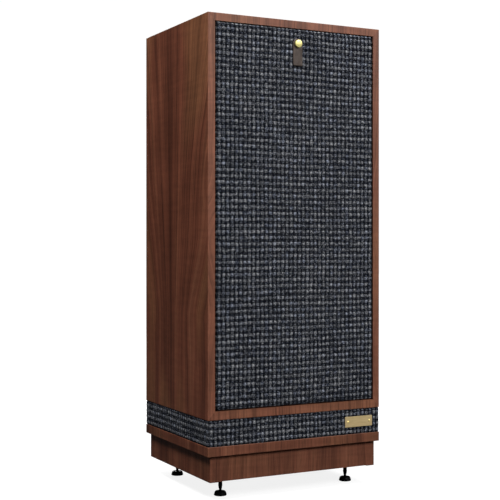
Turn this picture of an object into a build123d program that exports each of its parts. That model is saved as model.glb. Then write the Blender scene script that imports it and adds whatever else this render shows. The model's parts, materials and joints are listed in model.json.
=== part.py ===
from build123d import *
import os
from math import cos, pi, radians, sin

# A floorstanding loudspeaker. The cabinet is a mitred box of veneered board that stands on four corner
# posts above a base board, so that a downward port can breathe out through a cloth band on all four
# sides. An inset plinth with four spiked feet carries it. A coaxial driver and two level controls sit
# on the front baffle, behind a removable cloth grille with a leather pull tab.
#
# Millimetres. +Z is up, the front faces -Y, and the origin is at floor level in the middle of the
# cabinet's footprint.

# Driving dimensions
WIDTH = 460.0
DEPTH = 368.0
FOOT_CLEARANCE = 42.0
PLINTH_HEIGHT = 60.0
PLINTH_INSET = 9.0
BASE_THICKNESS = 22.0
BAND_HEIGHT = 60.0
CABINET_HEIGHT = 918.0
WALL = 18.0
BOTTOM_THICKNESS = 20.0
REAR_INSET = 2.0
BAFFLE_THICKNESS = 25.0
GRILLE_RECESS = 22.0
EDGE_RADIUS = 1.2
RUNNING_GAP = 0.05
SEAT_GAP = 0.1

# Levels and planes worked out from them
HALF_W = WIDTH / 2
HALF_D = DEPTH / 2
PLINTH_Z = FOOT_CLEARANCE
BASE_Z = PLINTH_Z + PLINTH_HEIGHT
BAND_Z = BASE_Z + BASE_THICKNESS
CABINET_Z = BAND_Z + BAND_HEIGHT
TOP_Z = CABINET_Z + CABINET_HEIGHT
INNER_X = HALF_W - WALL
INNER_Z0 = CABINET_Z + BOTTOM_THICKNESS
INNER_Z1 = TOP_Z - WALL
BAFFLE_Y = -HALF_D + GRILLE_RECESS
BAFFLE_BACK_Y = BAFFLE_Y + BAFFLE_THICKNESS
REAR_FACE_Y = HALF_D - REAR_INSET
REAR_INNER_Y = REAR_FACE_Y - WALL

# Driver, measured along its axis from the baffle's front face
DRIVER_Z = 850.0
FLANGE_R = 158.0
FLANGE_INNER_R = 134.0
FLANGE_THICKNESS = 6.0
DRIVER_CUTOUT_R = 143.0
BASKET_REAR = 91.0
BASKET_REAR_R = 82.0
BASKET_WALL = 4.0
SPIDER_SEAT_R = 80.0
SPIDER_DEPTH = 68.0
BOLT_CIRCLE_R = 150.0
BOLT_COUNT = 8
BOLT_R = 2.5
BOLT_HEAD_R = 4.25
BOLT_LENGTH = 26.0
CONE_OUTER_R = 117.0
CONE_NECK_R = 39.4
CONE_NECK_DEPTH = 58.0
CONE_THICKNESS = 1.5
ROLL_OUTER_R = 137.0
ROLL_THICKNESS = 1.5
COIL_INNER_R = 38.5
COIL_WALL = 0.8
WINDING_R = 40.6
POLE_R = 37.6
POLE_BORE_R = 17.0
TOP_PLATE_THICKNESS = 8.0
MAGNET_R = 95.0
MAGNET_INNER_R = 50.0
MAGNET_THICKNESS = 20.0
BACK_PLATE_THICKNESS = 8.0
HORN_THROAT_R = 12.5
HORN_MOUTH_R = 35.5
HORN_MOUTH_DEPTH = 50.0
HORN_WALL = 1.8
TWEETER_R = 45.0
TWEETER_MOTOR_LENGTH = 22.0
TWEETER_COVER_LENGTH = 23.0
TWEETER_DOME_R = 22.0
TWEETER_DOME_RISE = 6.0

# Level controls
CONTROL_Z = 608.0
CONTROL_SPACING = 62.0
CONTROL_PLATE = (132.0, 58.0, 2.0)
CONTROL_CUTOUT = (104.0, 36.0)
KNOB_R = 13.0
KNOB_LENGTH = 13.0
SPINDLE_R = 3.0
SWITCH_SIZE = 28.0
SWITCH_DEPTH = 18.0

# Grille
GRILLE_GAP = 2.0
GRILLE_FACE_Y = -HALF_D - 2.0
CLOTH = 1.5
GRILLE_EDGE_RADIUS = 5.0
GRILLE_RAIL = 28.0
GRILLE_TOP_RAIL = 54.0
GRILLE_BAR = 24.0
GRILLE_BARS_Z = (660.0, 420.0)
MAGNET_DISC_R = 6.0
MAGNET_DISC_T = 4.0
STUD_Z = BASE_Z + 945.5
STUD_HEAD_R = 8.8
STUD_HEAD_T = 4.5
STUD_RISE = 0.6
STUD_STEM_R = 2.0
TAB_WIDTH = 24.0
TAB_THICKNESS = 3.5
TAB_BOTTOM_Z = BASE_Z + 894.0
TAB_HINGE_Z = STUD_Z - STUD_HEAD_R - 0.6

# Port
PORT_Y = 10.0
PORT_R = 50.0
PORT_WALL = 3.0
PORT_LENGTH = 172.0
PORT_FLANGE_R = 75.0
PORT_FLANGE_T = 4.0
DIFFUSER_R = 128.0
DIFFUSER_HEIGHT = 50.0

# Cloth band
BAND_RECESS = 0.5
BAND_FRAME_T = 8.0
BAND_RAIL_H = 8.0
BAND_SLAT = 7.0
BAND_SLAT_PITCH = 42.0
POST_SIZE = 40.0
BADGE_SIZE = (76.0, 1.5, 25.0)
BADGE_X = 170.5
BADGE_Z = BASE_Z + 52.0
BADGE_PIN_SPACING = 60.0
BADGE_PIN_R = 0.9
BADGE_PIN_HEAD = (3.0, 1.4)
BADGE_PIN_LENGTH = 9.0

# Plinth and feet
PLINTH_WALL = 18.0
PLINTH_RELIEF = 1.5
PLINTH_RELIEF_MARGIN = 20.0
FOOT_X = 170.0
FOOT_Y = 124.0
BLOCK_SIZE = 66.0
BLOCK_RECESS = 6.5
SPIKE_R = 4.95
SPIKE_TOP_Z = 82.0
SPIKE_CONE_Z = 23.0
SPIKE_TIP_R = 0.6
SPIKE_POINT = (2.4, 9.4)
THREAD_BORE_R = SPIKE_R + 0.1
INSERT_R = 7.0
INSERT_LENGTH = 18.0
NUT_FLATS = 17.0
NUT_HEIGHT = 5.0
PAD_R = 15.0
PAD_TOP_R = 11.6
PAD_HEIGHT = 10.0
PAD_CUP_Z = 5.5

# Rear terminals
TERMINAL_Z = 300.0
TERMINAL_PLATE = (130.0, 84.0, 4.0)
TERMINAL_RECESS = 4.0
TERMINAL_CUTOUT = (108.0, 62.0)
POST_X = 17.0
POST_STUD_R = 4.0
SOCKET_R = 2.0
SOCKET_DEPTH = 16.0
POST_FLANGE_R = 9.0
CLAMP_R = 8.4
CLAMP_T = 2.5
CAP_R = 9.5
CAP_LENGTH = 14.0

# Braces, crossover and lining
BRACE_Z = (664.0, 420.0)
BRACE_T = 18.0
BRACE_MARGIN = 30.0
BRACE_BAR = 36.0
BOARD_SIZE = (200.0, 170.0, 3.0)
BOARD_Z = 549.0
BOARD_STANDOFF = 12.0
LINING_T = 15.0

CORNERS = {"front_left": (-1, -1), "front_right": (1, -1), "rear_left": (-1, 1), "rear_right": (1, 1)}


# Helpers


def block(x0, x1, y0, y1, z0, z1):
    """A box between two corners."""
    return Pos((x0 + x1) / 2, (y0 + y1) / 2, (z0 + z1) / 2) * Box(x1 - x0, y1 - y0, z1 - z0)


def window_y(width, height, y0, y1, z):
    """A box centred on X = 0 and on z, from y0 to y1."""
    return block(-width / 2, width / 2, y0, y1, z - height / 2, z + height / 2)


def prism_xz(points, y0, y1):
    """A polygon drawn in X and Z, run along Y from y0 to y1."""
    face = Plane.XZ.offset(-y0) * Polygon(*points, align=None)
    return extrude(face, amount=y1 - y0, dir=(0, 1, 0))


def prism_xy(points, z0, z1):
    """A polygon drawn in X and Y, run up from z0 to z1."""
    face = Pos(0, 0, z0) * Polygon(*points, align=None)
    return extrude(face, amount=z1 - z0, dir=(0, 0, 1))


def rod_y(x, y0, y1, z, radius):
    """A round rod along Y."""
    return Pos(x, (y0 + y1) / 2, z) * Rot(90, 0, 0) * Cylinder(radius, y1 - y0)


def rod_z(x, y, z0, z1, radius):
    """A round rod along Z."""
    return Pos(x, y, (z0 + z1) / 2) * Cylinder(radius, z1 - z0)


def turned_y(outline, x, y, z):
    """A face drawn as (radius, distance along +Y), turned about Y and placed at x, y, z."""
    return Pos(x, y, z) * revolve(outline, axis=Axis.Y)


def turned_z(points, x, y, z):
    """Points of (radius, height), turned about Z and placed at x, y, z."""
    face = Plane.XZ * Polygon(*points, align=None)
    return Pos(x, y, z) * revolve(face, axis=Axis.Z)


def closed_face(*edges):
    """A face inside a closed run of edges."""
    return make_face(Wire(list(edges)))


def shell_face(curve_points, along):
    """A thin face swept from a smooth curve of (radius, depth) by moving it `along` in (radius, depth)."""
    near = Spline(*curve_points)
    far = Spline(*[(r + along[0], d + along[1]) for r, d in curve_points])
    ends = [Line(near @ 1, far @ 1).edge(), Line(far @ 0, near @ 0).edge()]
    return closed_face(near.edge(), ends[0], far.edge(), ends[1])


def rounded_block(x0, x1, y0, y1, z0, z1, radius):
    """A box whose twelve edges are all rounded."""
    solid = block(x0, x1, y0, y1, z0, z1)
    return fillet(solid.edges(), radius)


def at_corners(x, y):
    """The four points at plus and minus x and y, by corner name."""
    return {name: (sx * x, sy * y) for name, (sx, sy) in CORNERS.items()}


def screw(grow=0.0, length=20.0, shank_r=1.9, head_r=3.8):
    """A countersunk wood screw pointing down -Z with its head's top at the origin; `grow` makes its hole."""
    head_depth = head_r - shank_r
    points = [
        (0, 0),
        (head_r + grow, 0),
        (shank_r + grow, -head_depth),
        (shank_r + grow, -length + 3.0),
        (0, -length - grow),
    ]
    solid = revolve(Plane.XZ * Polygon(*points, align=None), axis=Axis.Z)
    if grow == 0:
        for turn in (0, 90):
            solid -= Rot(0, 0, turn) * Box(head_r * 1.1, 0.9, 2.2)
    return solid


def screw_places():
    """Where each wood screw's head sits, with the direction its head faces."""
    places = []
    half_w, half_h = CONTROL_PLATE[0] / 2 - 6, CONTROL_PLATE[1] / 2 - 6
    for sx, sy in CORNERS.values():
        places.append(((sx * half_w, BAFFLE_Y, CONTROL_Z + sy * half_h), (0, -1, 0)))
    half_w, half_h = TERMINAL_PLATE[0] / 2 - 7, TERMINAL_PLATE[1] / 2 - 7
    for sx, sy in CORNERS.values():
        places.append(((sx * half_w, REAR_FACE_Y - TERMINAL_RECESS, TERMINAL_Z + sy * half_h), (0, 1, 0)))
    for x, y in at_corners(post_centre_x(), post_centre_y()).values():
        places.append(((x, y, BASE_Z), (0, 0, -1)))
    return places


def screws_at(grow=0.0):
    """All wood screws, or with `grow` the holes they need."""
    shapes = []
    for origin, direction in screw_places():
        length = 50.0 if direction[2] else 14.0
        frame = Plane(origin=origin, z_dir=direction)
        shapes.append(frame * screw(grow, length))
    return shapes


def post_centre_x():
    return HALF_W - BAND_RECESS - CLOTH - BAND_FRAME_T - POST_SIZE / 2


def post_centre_y():
    return HALF_D - BAND_RECESS - CLOTH - BAND_FRAME_T - POST_SIZE / 2


# Cabinet


def cabinet_envelope():
    return rounded_block(-HALF_W, HALF_W, -HALF_D, HALF_D, CABINET_Z, TOP_Z, EDGE_RADIUS)


def side_panel(side):
    """A side panel, mitred to the top and bottom panels."""
    outer, inner = side * HALF_W, side * INNER_X
    points = [(outer, CABINET_Z), (inner, INNER_Z0), (inner, INNER_Z1), (outer, TOP_Z)]
    return prism_xz(points, -HALF_D, HALF_D) & cabinet_envelope()


def top_panel():
    points = [(-HALF_W, TOP_Z), (HALF_W, TOP_Z), (INNER_X, INNER_Z1), (-INNER_X, INNER_Z1)]
    return prism_xz(points, -HALF_D, HALF_D) & cabinet_envelope()


def bottom_panel():
    """The mitred floor of the cabinet, with a stepped hole for the port."""
    points = [(-HALF_W, CABINET_Z), (HALF_W, CABINET_Z), (INNER_X, INNER_Z0), (-INNER_X, INNER_Z0)]
    panel = prism_xz(points, -HALF_D, HALF_D) & cabinet_envelope()
    panel -= rod_z(0, PORT_Y, CABINET_Z - 1, INNER_Z0 + 1, PORT_R + PORT_WALL + SEAT_GAP)
    panel -= rod_z(0, PORT_Y, CABINET_Z - 1, CABINET_Z + PORT_FLANGE_T, PORT_FLANGE_R + SEAT_GAP)
    return panel


def rear_panel():
    """The rear wall, with a rebated opening for the terminal plate."""
    panel = block(-INNER_X, INNER_X, REAR_INNER_Y, REAR_FACE_Y, INNER_Z0, INNER_Z1)
    w, h, t = TERMINAL_PLATE
    seat_y = REAR_FACE_Y - TERMINAL_RECESS - t
    panel -= window_y(w + 1, h + 1, seat_y, REAR_FACE_Y + 1, TERMINAL_Z)
    return panel - window_y(*TERMINAL_CUTOUT, REAR_INNER_Y - 1, REAR_FACE_Y, TERMINAL_Z)


def driver_bolt_angles():
    return [(i + 0.5) * 360 / BOLT_COUNT for i in range(BOLT_COUNT)]


def driver_bolt_places():
    """Bolt centres as x and z."""
    return [
        (BOLT_CIRCLE_R * cos(radians(a)), DRIVER_Z + BOLT_CIRCLE_R * sin(radians(a)))
        for a in driver_bolt_angles()
    ]


def magnet_places():
    """Centres of the grille's magnets as x and z."""
    rows = (INNER_Z0 + 36, (INNER_Z0 + INNER_Z1) / 2, INNER_Z1 - 36)
    return [(sx * (INNER_X - 17.5), z) for sx in (-1, 1) for z in rows]


def front_baffle():
    """The thick front board, with the driver's stepped opening and the controls' rebate."""
    board = block(-INNER_X, INNER_X, BAFFLE_Y, BAFFLE_BACK_Y, INNER_Z0, INNER_Z1)
    board -= rod_y(0, BAFFLE_Y - 1, BAFFLE_BACK_Y + 1, DRIVER_Z, DRIVER_CUTOUT_R)
    board -= rod_y(0, BAFFLE_Y - 1, BAFFLE_Y + FLANGE_THICKNESS, DRIVER_Z, FLANGE_R + 0.5)
    w, h, t = CONTROL_PLATE
    board -= window_y(w + 0.6, h + 0.6, BAFFLE_Y - 1, BAFFLE_Y + t, CONTROL_Z)
    board -= window_y(*CONTROL_CUTOUT, BAFFLE_Y - 1, BAFFLE_BACK_Y + 1, CONTROL_Z)
    for x, z in driver_bolt_places():
        board -= rod_y(x, BAFFLE_Y, BAFFLE_Y + BOLT_LENGTH - 4, z, BOLT_R + RUNNING_GAP)
    for x, z in magnet_places():
        board -= rod_y(x, BAFFLE_Y - 1, BAFFLE_Y + MAGNET_DISC_T, z, MAGNET_DISC_R + SEAT_GAP)
    return board


def cabinet_braces():
    """Two window braces that tie the four walls together."""
    braces = []
    for z in BRACE_Z:
        brace = block(-INNER_X, INNER_X, BAFFLE_BACK_Y, REAR_INNER_Y, z, z + BRACE_T)
        for side in (-1, 1):
            x_near, x_far = side * BRACE_BAR / 2, side * (INNER_X - BRACE_MARGIN)
            window = block(
                min(x_near, x_far),
                max(x_near, x_far),
                BAFFLE_BACK_Y + BRACE_MARGIN,
                REAR_INNER_Y - BRACE_MARGIN,
                z - 1,
                z + BRACE_T + 1,
            )
            brace -= fillet(window.edges().filter_by(Axis.Z), 25)
        braces.append(brace)
    return braces


def damping_lining():
    """Felt sheets on the walls of the upper chamber and behind the port."""
    z0, z1 = BRACE_Z[0] + BRACE_T + 8, INNER_Z1 - 12
    side_y0, side_y1 = BAFFLE_BACK_Y + 8, REAR_INNER_Y - LINING_T - 3
    sheets = [
        block(-INNER_X, -INNER_X + LINING_T, side_y0, side_y1, z0, z1),
        block(INNER_X - LINING_T, INNER_X, side_y0, side_y1, z0, z1),
        block(-INNER_X + LINING_T, INNER_X - LINING_T, REAR_INNER_Y - LINING_T, REAR_INNER_Y, z0, z1),
        block(-INNER_X, -INNER_X + LINING_T, side_y0, side_y1, INNER_Z0 + 12, BRACE_Z[1] - 8),
        block(INNER_X - LINING_T, INNER_X, side_y0, side_y1, INNER_Z0 + 12, BRACE_Z[1] - 8),
    ]
    return [fillet(sheet.edges(), 3) for sheet in sheets]


# Port and cloth band


def port_tube():
    """A flared tube that runs up from the cabinet's floor."""
    inner, outer = PORT_R, PORT_R + PORT_WALL
    flare = 10.0
    lower_arc = RadiusArc((inner, flare), (inner + flare, 0), -flare).edge()
    upper_arc = RadiusArc((inner + flare, PORT_LENGTH), (inner, PORT_LENGTH - flare), -flare).edge()
    corners = [
        (inner + flare, 0),
        (PORT_FLANGE_R, 0),
        (PORT_FLANGE_R, PORT_FLANGE_T),
        (outer, PORT_FLANGE_T),
        (outer, PORT_LENGTH - flare - PORT_WALL),
        (inner + flare + PORT_WALL, PORT_LENGTH),
        (inner + flare, PORT_LENGTH),
    ]
    edges = [lower_arc]
    edges += [Line(a, b).edge() for a, b in zip(corners, corners[1:])]
    edges += [upper_arc, Line((inner, PORT_LENGTH - flare), (inner, flare)).edge()]
    face = Plane.XZ * closed_face(*edges)
    return Pos(0, PORT_Y, CABINET_Z) * revolve(face, axis=Axis.Z)


def port_diffuser():
    """A horn-shaped cone on the base board that turns the port's air outwards."""
    tip_r, rim = 5.0, 4.0
    shoulder = Spline(
        (DIFFUSER_R, rim),
        (DIFFUSER_R * 0.5, DIFFUSER_HEIGHT * 0.28),
        (DIFFUSER_R * 0.2, DIFFUSER_HEIGHT * 0.62),
        (tip_r, DIFFUSER_HEIGHT - 1),
        tangents=[(-1, 0.02), (-0.25, 1)],
    ).edge()
    corners = [(tip_r, DIFFUSER_HEIGHT - 1), (0, DIFFUSER_HEIGHT), (0, 0), (DIFFUSER_R, 0), (DIFFUSER_R, rim)]
    edges = [shoulder] + [Line(a, b).edge() for a, b in zip(corners, corners[1:])]
    face = Plane.XZ * closed_face(*edges)
    return Pos(0, PORT_Y, BAND_Z) * revolve(face, axis=Axis.Z)


def band_ring(inset, thickness, z0, z1):
    """A rectangular ring under the cabinet's outline, inset from it."""
    outer_x, outer_y = HALF_W - inset, HALF_D - inset
    ring = block(-outer_x, outer_x, -outer_y, outer_y, z0, z1)
    inner_x, inner_y = outer_x - thickness, outer_y - thickness
    return ring - block(-inner_x, inner_x, -inner_y, inner_y, z0 - 1, z1 + 1)


def badge_pin_places():
    return [(BADGE_X + s * BADGE_PIN_SPACING / 2, BADGE_Z) for s in (-1, 1)]


def band_frame():
    """The slatted frame that the band's cloth is stretched over, with a solid pad behind the name plate."""
    inset = BAND_RECESS + CLOTH
    z0, z1 = BAND_Z, CABINET_Z
    frame = band_ring(inset, BAND_FRAME_T, z0, z0 + BAND_RAIL_H)
    frame += band_ring(inset, BAND_FRAME_T, z1 - BAND_RAIL_H, z1)
    outer_x, outer_y = HALF_W - inset, HALF_D - inset
    slat_z = (z0 + 1, z1 - 1)
    for sy in (-1, 1):
        y0, y1 = sorted((sy * outer_y, sy * (outer_y - BAND_FRAME_T)))
        for i in range(-5, 6):
            x = i * BAND_SLAT_PITCH
            frame += block(x - BAND_SLAT / 2, x + BAND_SLAT / 2, y0, y1, *slat_z)
    for sx in (-1, 1):
        x0, x1 = sorted((sx * outer_x, sx * (outer_x - BAND_FRAME_T)))
        for i in range(-4, 5):
            y = i * BAND_SLAT_PITCH
            frame += block(x0, x1, y - BAND_SLAT / 2, y + BAND_SLAT / 2, *slat_z)
    half = BADGE_SIZE[0] / 2 + 3
    frame += block(BADGE_X - half, BADGE_X + half, -outer_y, -outer_y + BAND_FRAME_T, *slat_z)
    for x, z in badge_pin_places():
        frame -= rod_y(x, -outer_y - 1, -outer_y + BAND_FRAME_T + 1, z, BADGE_PIN_R + RUNNING_GAP)
    return frame


def band_cloth():
    """The woven band, a closed sleeve round the frame."""
    cloth = band_ring(BAND_RECESS, CLOTH, BAND_Z + 0.3, CABINET_Z - 0.3)
    for x, z in badge_pin_places():
        cloth -= rod_y(x, -HALF_D - 1, -HALF_D + 6, z, BADGE_PIN_R + SEAT_GAP)
    return cloth


def corner_posts():
    """Four blocks that carry the cabinet on the base board."""
    half = POST_SIZE / 2
    return [
        block(x - half, x + half, y - half, y + half, BAND_Z, CABINET_Z)
        for x, y in at_corners(post_centre_x(), post_centre_y()).values()
    ]


def base_board():
    return rounded_block(-HALF_W, HALF_W, -HALF_D, HALF_D, BASE_Z, BAND_Z, EDGE_RADIUS)


def badge_plate():
    """A plain brass plate with two pin holes."""
    w, t, h = BADGE_SIZE
    back_y = -HALF_D + BAND_RECESS - RUNNING_GAP
    plate = block(BADGE_X - w / 2, BADGE_X + w / 2, back_y - t, back_y, BADGE_Z - h / 2, BADGE_Z + h / 2)
    plate = fillet(plate.edges().filter_by(Axis.Y), 1.0)
    for x, z in badge_pin_places():
        plate -= rod_y(x, back_y - t - 1, back_y + 1, z, BADGE_PIN_R + SEAT_GAP)
    return plate


def badge_pins():
    """Two round-headed brass pins."""
    front_y = -HALF_D + BAND_RECESS - RUNNING_GAP - BADGE_SIZE[1]
    head_r, head_t = BADGE_PIN_HEAD
    sphere_r = (head_r**2 + head_t**2) / (2 * head_t)
    halfway_y = sphere_r - head_t - (sphere_r**2 - head_r**2 / 4) ** 0.5
    dome = ThreePointArc((0, -head_t), (head_r / 2, halfway_y), (head_r, 0)).edge()
    stem_r, stem = BADGE_PIN_R, BADGE_PIN_LENGTH
    corners = [(head_r, 0), (stem_r, 0), (stem_r, stem), (0, stem), (0, -head_t)]
    face = closed_face(dome, *[Line(a, b).edge() for a, b in zip(corners, corners[1:])])
    return [turned_y(face, x, front_y, z) for x, z in badge_pin_places()]


# Plinth and feet


def plinth_rails():
    """Four mitred rails; the front and rear ones are relieved underneath between the corners."""
    outer_x, outer_y = HALF_W - PLINTH_INSET, HALF_D - PLINTH_INSET
    inner_x, inner_y = outer_x - PLINTH_WALL, outer_y - PLINTH_WALL
    envelope = rounded_block(-outer_x, outer_x, -outer_y, outer_y, PLINTH_Z, BASE_Z, EDGE_RADIUS)
    rails = []
    for sy in (-1, 1):
        y_out, y_in = sy * outer_y, sy * inner_y
        points = [(-outer_x, y_out), (outer_x, y_out), (inner_x, y_in), (-inner_x, y_in)]
        rail = prism_xy(points, PLINTH_Z, BASE_Z) & envelope
        reach = outer_x - PLINTH_RELIEF_MARGIN
        relief = [
            (-reach, PLINTH_Z - 1),
            (reach, PLINTH_Z - 1),
            (reach - PLINTH_RELIEF * 2, PLINTH_Z + PLINTH_RELIEF),
            (-reach + PLINTH_RELIEF * 2, PLINTH_Z + PLINTH_RELIEF),
        ]
        rails.append(rail - prism_xz(relief, *sorted((sy * (inner_y - 1), sy * (outer_y + 1)))))
    for sx in (-1, 1):
        x_out, x_in = sx * outer_x, sx * inner_x
        points = [(x_out, -outer_y), (x_out, outer_y), (x_in, inner_y), (x_in, -inner_y)]
        rails.append(prism_xy(points, PLINTH_Z, BASE_Z) & envelope)
    return rails


def plinth_corner_blocks():
    """Hardwood blocks in the plinth's corners, with blind bores that stop the spikes when they are home."""
    blocks = []
    z0 = PLINTH_Z + BLOCK_RECESS
    half = BLOCK_SIZE / 2
    for x, y in at_corners(FOOT_X, FOOT_Y).values():
        corner = block(x - half, x + half, y - half, y + half, z0, BASE_Z)
        corner -= rod_z(x, y, z0 - 1, z0 + INSERT_LENGTH, INSERT_R + 0.02)
        corner -= rod_z(x, y, z0, SPIKE_TOP_Z + SEAT_GAP, SPIKE_R + 0.4)
        blocks.append(corner)
    return blocks


def foot_inserts():
    """Threaded brass inserts that the spikes screw into."""
    z0 = PLINTH_Z + BLOCK_RECESS
    z1 = z0 + INSERT_LENGTH
    return [
        rod_z(x, y, z0, z1, INSERT_R) - rod_z(x, y, z0 - 1, z1 + 1, THREAD_BORE_R)
        for x, y in at_corners(FOOT_X, FOOT_Y).values()
    ]


def foot_lock_nuts():
    """Hexagon nuts that lock the spikes against the corner blocks."""
    nuts = []
    z1 = PLINTH_Z + BLOCK_RECESS
    for x, y in at_corners(FOOT_X, FOOT_Y).values():
        hexagon = RegularPolygon(NUT_FLATS / 2, 6, major_radius=False)
        nut = Pos(x, y, z1 - NUT_HEIGHT) * extrude(hexagon, amount=NUT_HEIGHT)
        nuts.append(nut - rod_z(x, y, z1 - NUT_HEIGHT - 1, z1 + 1, THREAD_BORE_R))
    return nuts


def foot_spike(x, y):
    """A threaded spike: a plain shank at the thread's outside diameter, with a point of two slopes."""
    points = [
        (0, PAD_CUP_Z + SEAT_GAP),
        (SPIKE_TIP_R, PAD_CUP_Z + SEAT_GAP),
        SPIKE_POINT,
        (SPIKE_R, SPIKE_CONE_Z),
        (SPIKE_R, SPIKE_TOP_Z - 1),
        (SPIKE_R - 1, SPIKE_TOP_Z),
        (0, SPIKE_TOP_Z),
    ]
    return turned_z(points, x, y, 0)


def foot_pad(x, y):
    """A domed floor pad with a conical cup for the spike's point."""
    edge = 1.2
    points = [
        (0, 0),
        (PAD_R - edge, 0),
        (PAD_R, edge),
        (PAD_R - 0.3, edge + 1.4),
        (PAD_TOP_R + 1.6, PAD_HEIGHT - 2.4),
        (PAD_TOP_R + 0.5, PAD_HEIGHT - 0.8),
        (PAD_TOP_R - 0.9, PAD_HEIGHT),
        (4.0, PAD_HEIGHT),
        (SPIKE_TIP_R + 0.4, PAD_CUP_Z),
        (0, PAD_CUP_Z),
    ]
    return turned_z(points, x, y, 0)


# Grille


def grille_limits(inset):
    """Low x, high x, low z and high z of the grille's outline, inset."""
    edge = GRILLE_GAP + inset
    return -INNER_X + edge, INNER_X - edge, INNER_Z0 + edge, INNER_Z1 - edge


def grille_slab(inset, front_y, back_y, radius):
    """A slab in the grille's outline whose front edges are rounded."""
    x0, x1, z0, z1 = grille_limits(inset)
    slab = block(x0, x1, front_y, back_y, z0, z1)
    front_edges = slab.faces().sort_by(Axis.Y)[0].edges()
    upright = slab.edges().filter_by(Axis.Y)
    return fillet(front_edges + upright, radius)


def grille_frame():
    """The wooden frame under the cloth, with two cross bars and a deep top rail for the stud."""
    front_y = GRILLE_FACE_Y + CLOTH
    back_y = BAFFLE_Y - 0.5
    frame = grille_slab(CLOTH, front_y, back_y, GRILLE_EDGE_RADIUS - CLOTH)
    x0, x1, z0, z1 = grille_limits(CLOTH + GRILLE_RAIL)
    rail_top = z1 + GRILLE_RAIL - GRILLE_TOP_RAIL
    levels = [rail_top, *GRILLE_BARS_Z, z0 - GRILLE_BAR / 2]
    for i, (upper, lower) in enumerate(zip(levels, levels[1:])):
        high = upper if i == 0 else upper - GRILLE_BAR / 2
        window = block(x0, x1, front_y - 1, back_y + 1, lower + GRILLE_BAR / 2, high)
        frame -= fillet(window.edges().filter_by(Axis.Y), 12)
    for x, z in magnet_places():
        frame -= rod_y(x, back_y - MAGNET_DISC_T, back_y + 1, z, MAGNET_DISC_R + SEAT_GAP)
    frame -= rod_y(0, front_y - 1, front_y + 13, STUD_Z, STUD_STEM_R + RUNNING_GAP)
    return frame


def grille_cloth():
    """The cloth, stretched over the frame's front and round its edges."""
    back_y = BAFFLE_Y - 1.5
    cloth = grille_slab(0, GRILLE_FACE_Y, back_y, GRILLE_EDGE_RADIUS)
    cloth -= grille_slab(CLOTH, GRILLE_FACE_Y + CLOTH, back_y + 5, GRILLE_EDGE_RADIUS - CLOTH)
    return cloth - rod_y(0, GRILLE_FACE_Y - 1, GRILLE_FACE_Y + 5, STUD_Z, STUD_STEM_R + SEAT_GAP)


def tab_blank():
    """The whole leather tab, round at the top, before it is parted at the fold."""
    front_y = GRILLE_FACE_Y - RUNNING_GAP - TAB_THICKNESS
    back_y = GRILLE_FACE_Y - RUNNING_GAP
    half = TAB_WIDTH / 2
    strip = block(-half, half, front_y, back_y, TAB_BOTTOM_Z, STUD_Z)
    lower = strip.edges().filter_by(Axis.Y).group_by(Axis.Z)[0]
    strip = fillet(lower, 2.5)
    strip += rod_y(0, front_y, back_y, STUD_Z, half)
    return strip - rod_y(0, front_y - 1, back_y + 1, STUD_Z, STUD_STEM_R + SEAT_GAP)


def pull_tab():
    """The tab's free end, which lifts away from the cloth."""
    return tab_blank() - block(-50, 50, -HALF_D - 20, 0, TAB_HINGE_Z, TOP_Z)


def pull_tab_root():
    """The tab's clamped end, under the stud."""
    return tab_blank() - block(-50, 50, -HALF_D - 20, 0, INNER_Z0, TAB_HINGE_Z + SEAT_GAP)


def tab_stud():
    """A low-domed brass stud that pins the tab to the grille's top rail."""
    head_back = GRILLE_FACE_Y - RUNNING_GAP - TAB_THICKNESS - RUNNING_GAP
    rim, stem = STUD_HEAD_T - STUD_RISE, 13.0
    halfway = (STUD_HEAD_R / 2, -STUD_HEAD_T + STUD_RISE / 4)
    dome = ThreePointArc((0, -STUD_HEAD_T), halfway, (STUD_HEAD_R, -rim)).edge()
    corners = [
        (STUD_HEAD_R, -rim),
        (STUD_HEAD_R, 0),
        (STUD_STEM_R, 0),
        (STUD_STEM_R, stem),
        (0, stem),
        (0, -STUD_HEAD_T),
    ]
    face = closed_face(dome, *[Line(a, b).edge() for a, b in zip(corners, corners[1:])])
    return turned_y(face, 0, head_back, STUD_Z)


def magnet_discs(face_y, towards):
    """Six magnet discs behind a face, running away from it along `towards`."""
    y0, y1 = sorted((face_y, face_y + towards * (MAGNET_DISC_T - 0.2)))
    return [rod_y(x, y0, y1, z, MAGNET_DISC_R) for x, z in magnet_places()]


# Driver


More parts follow.
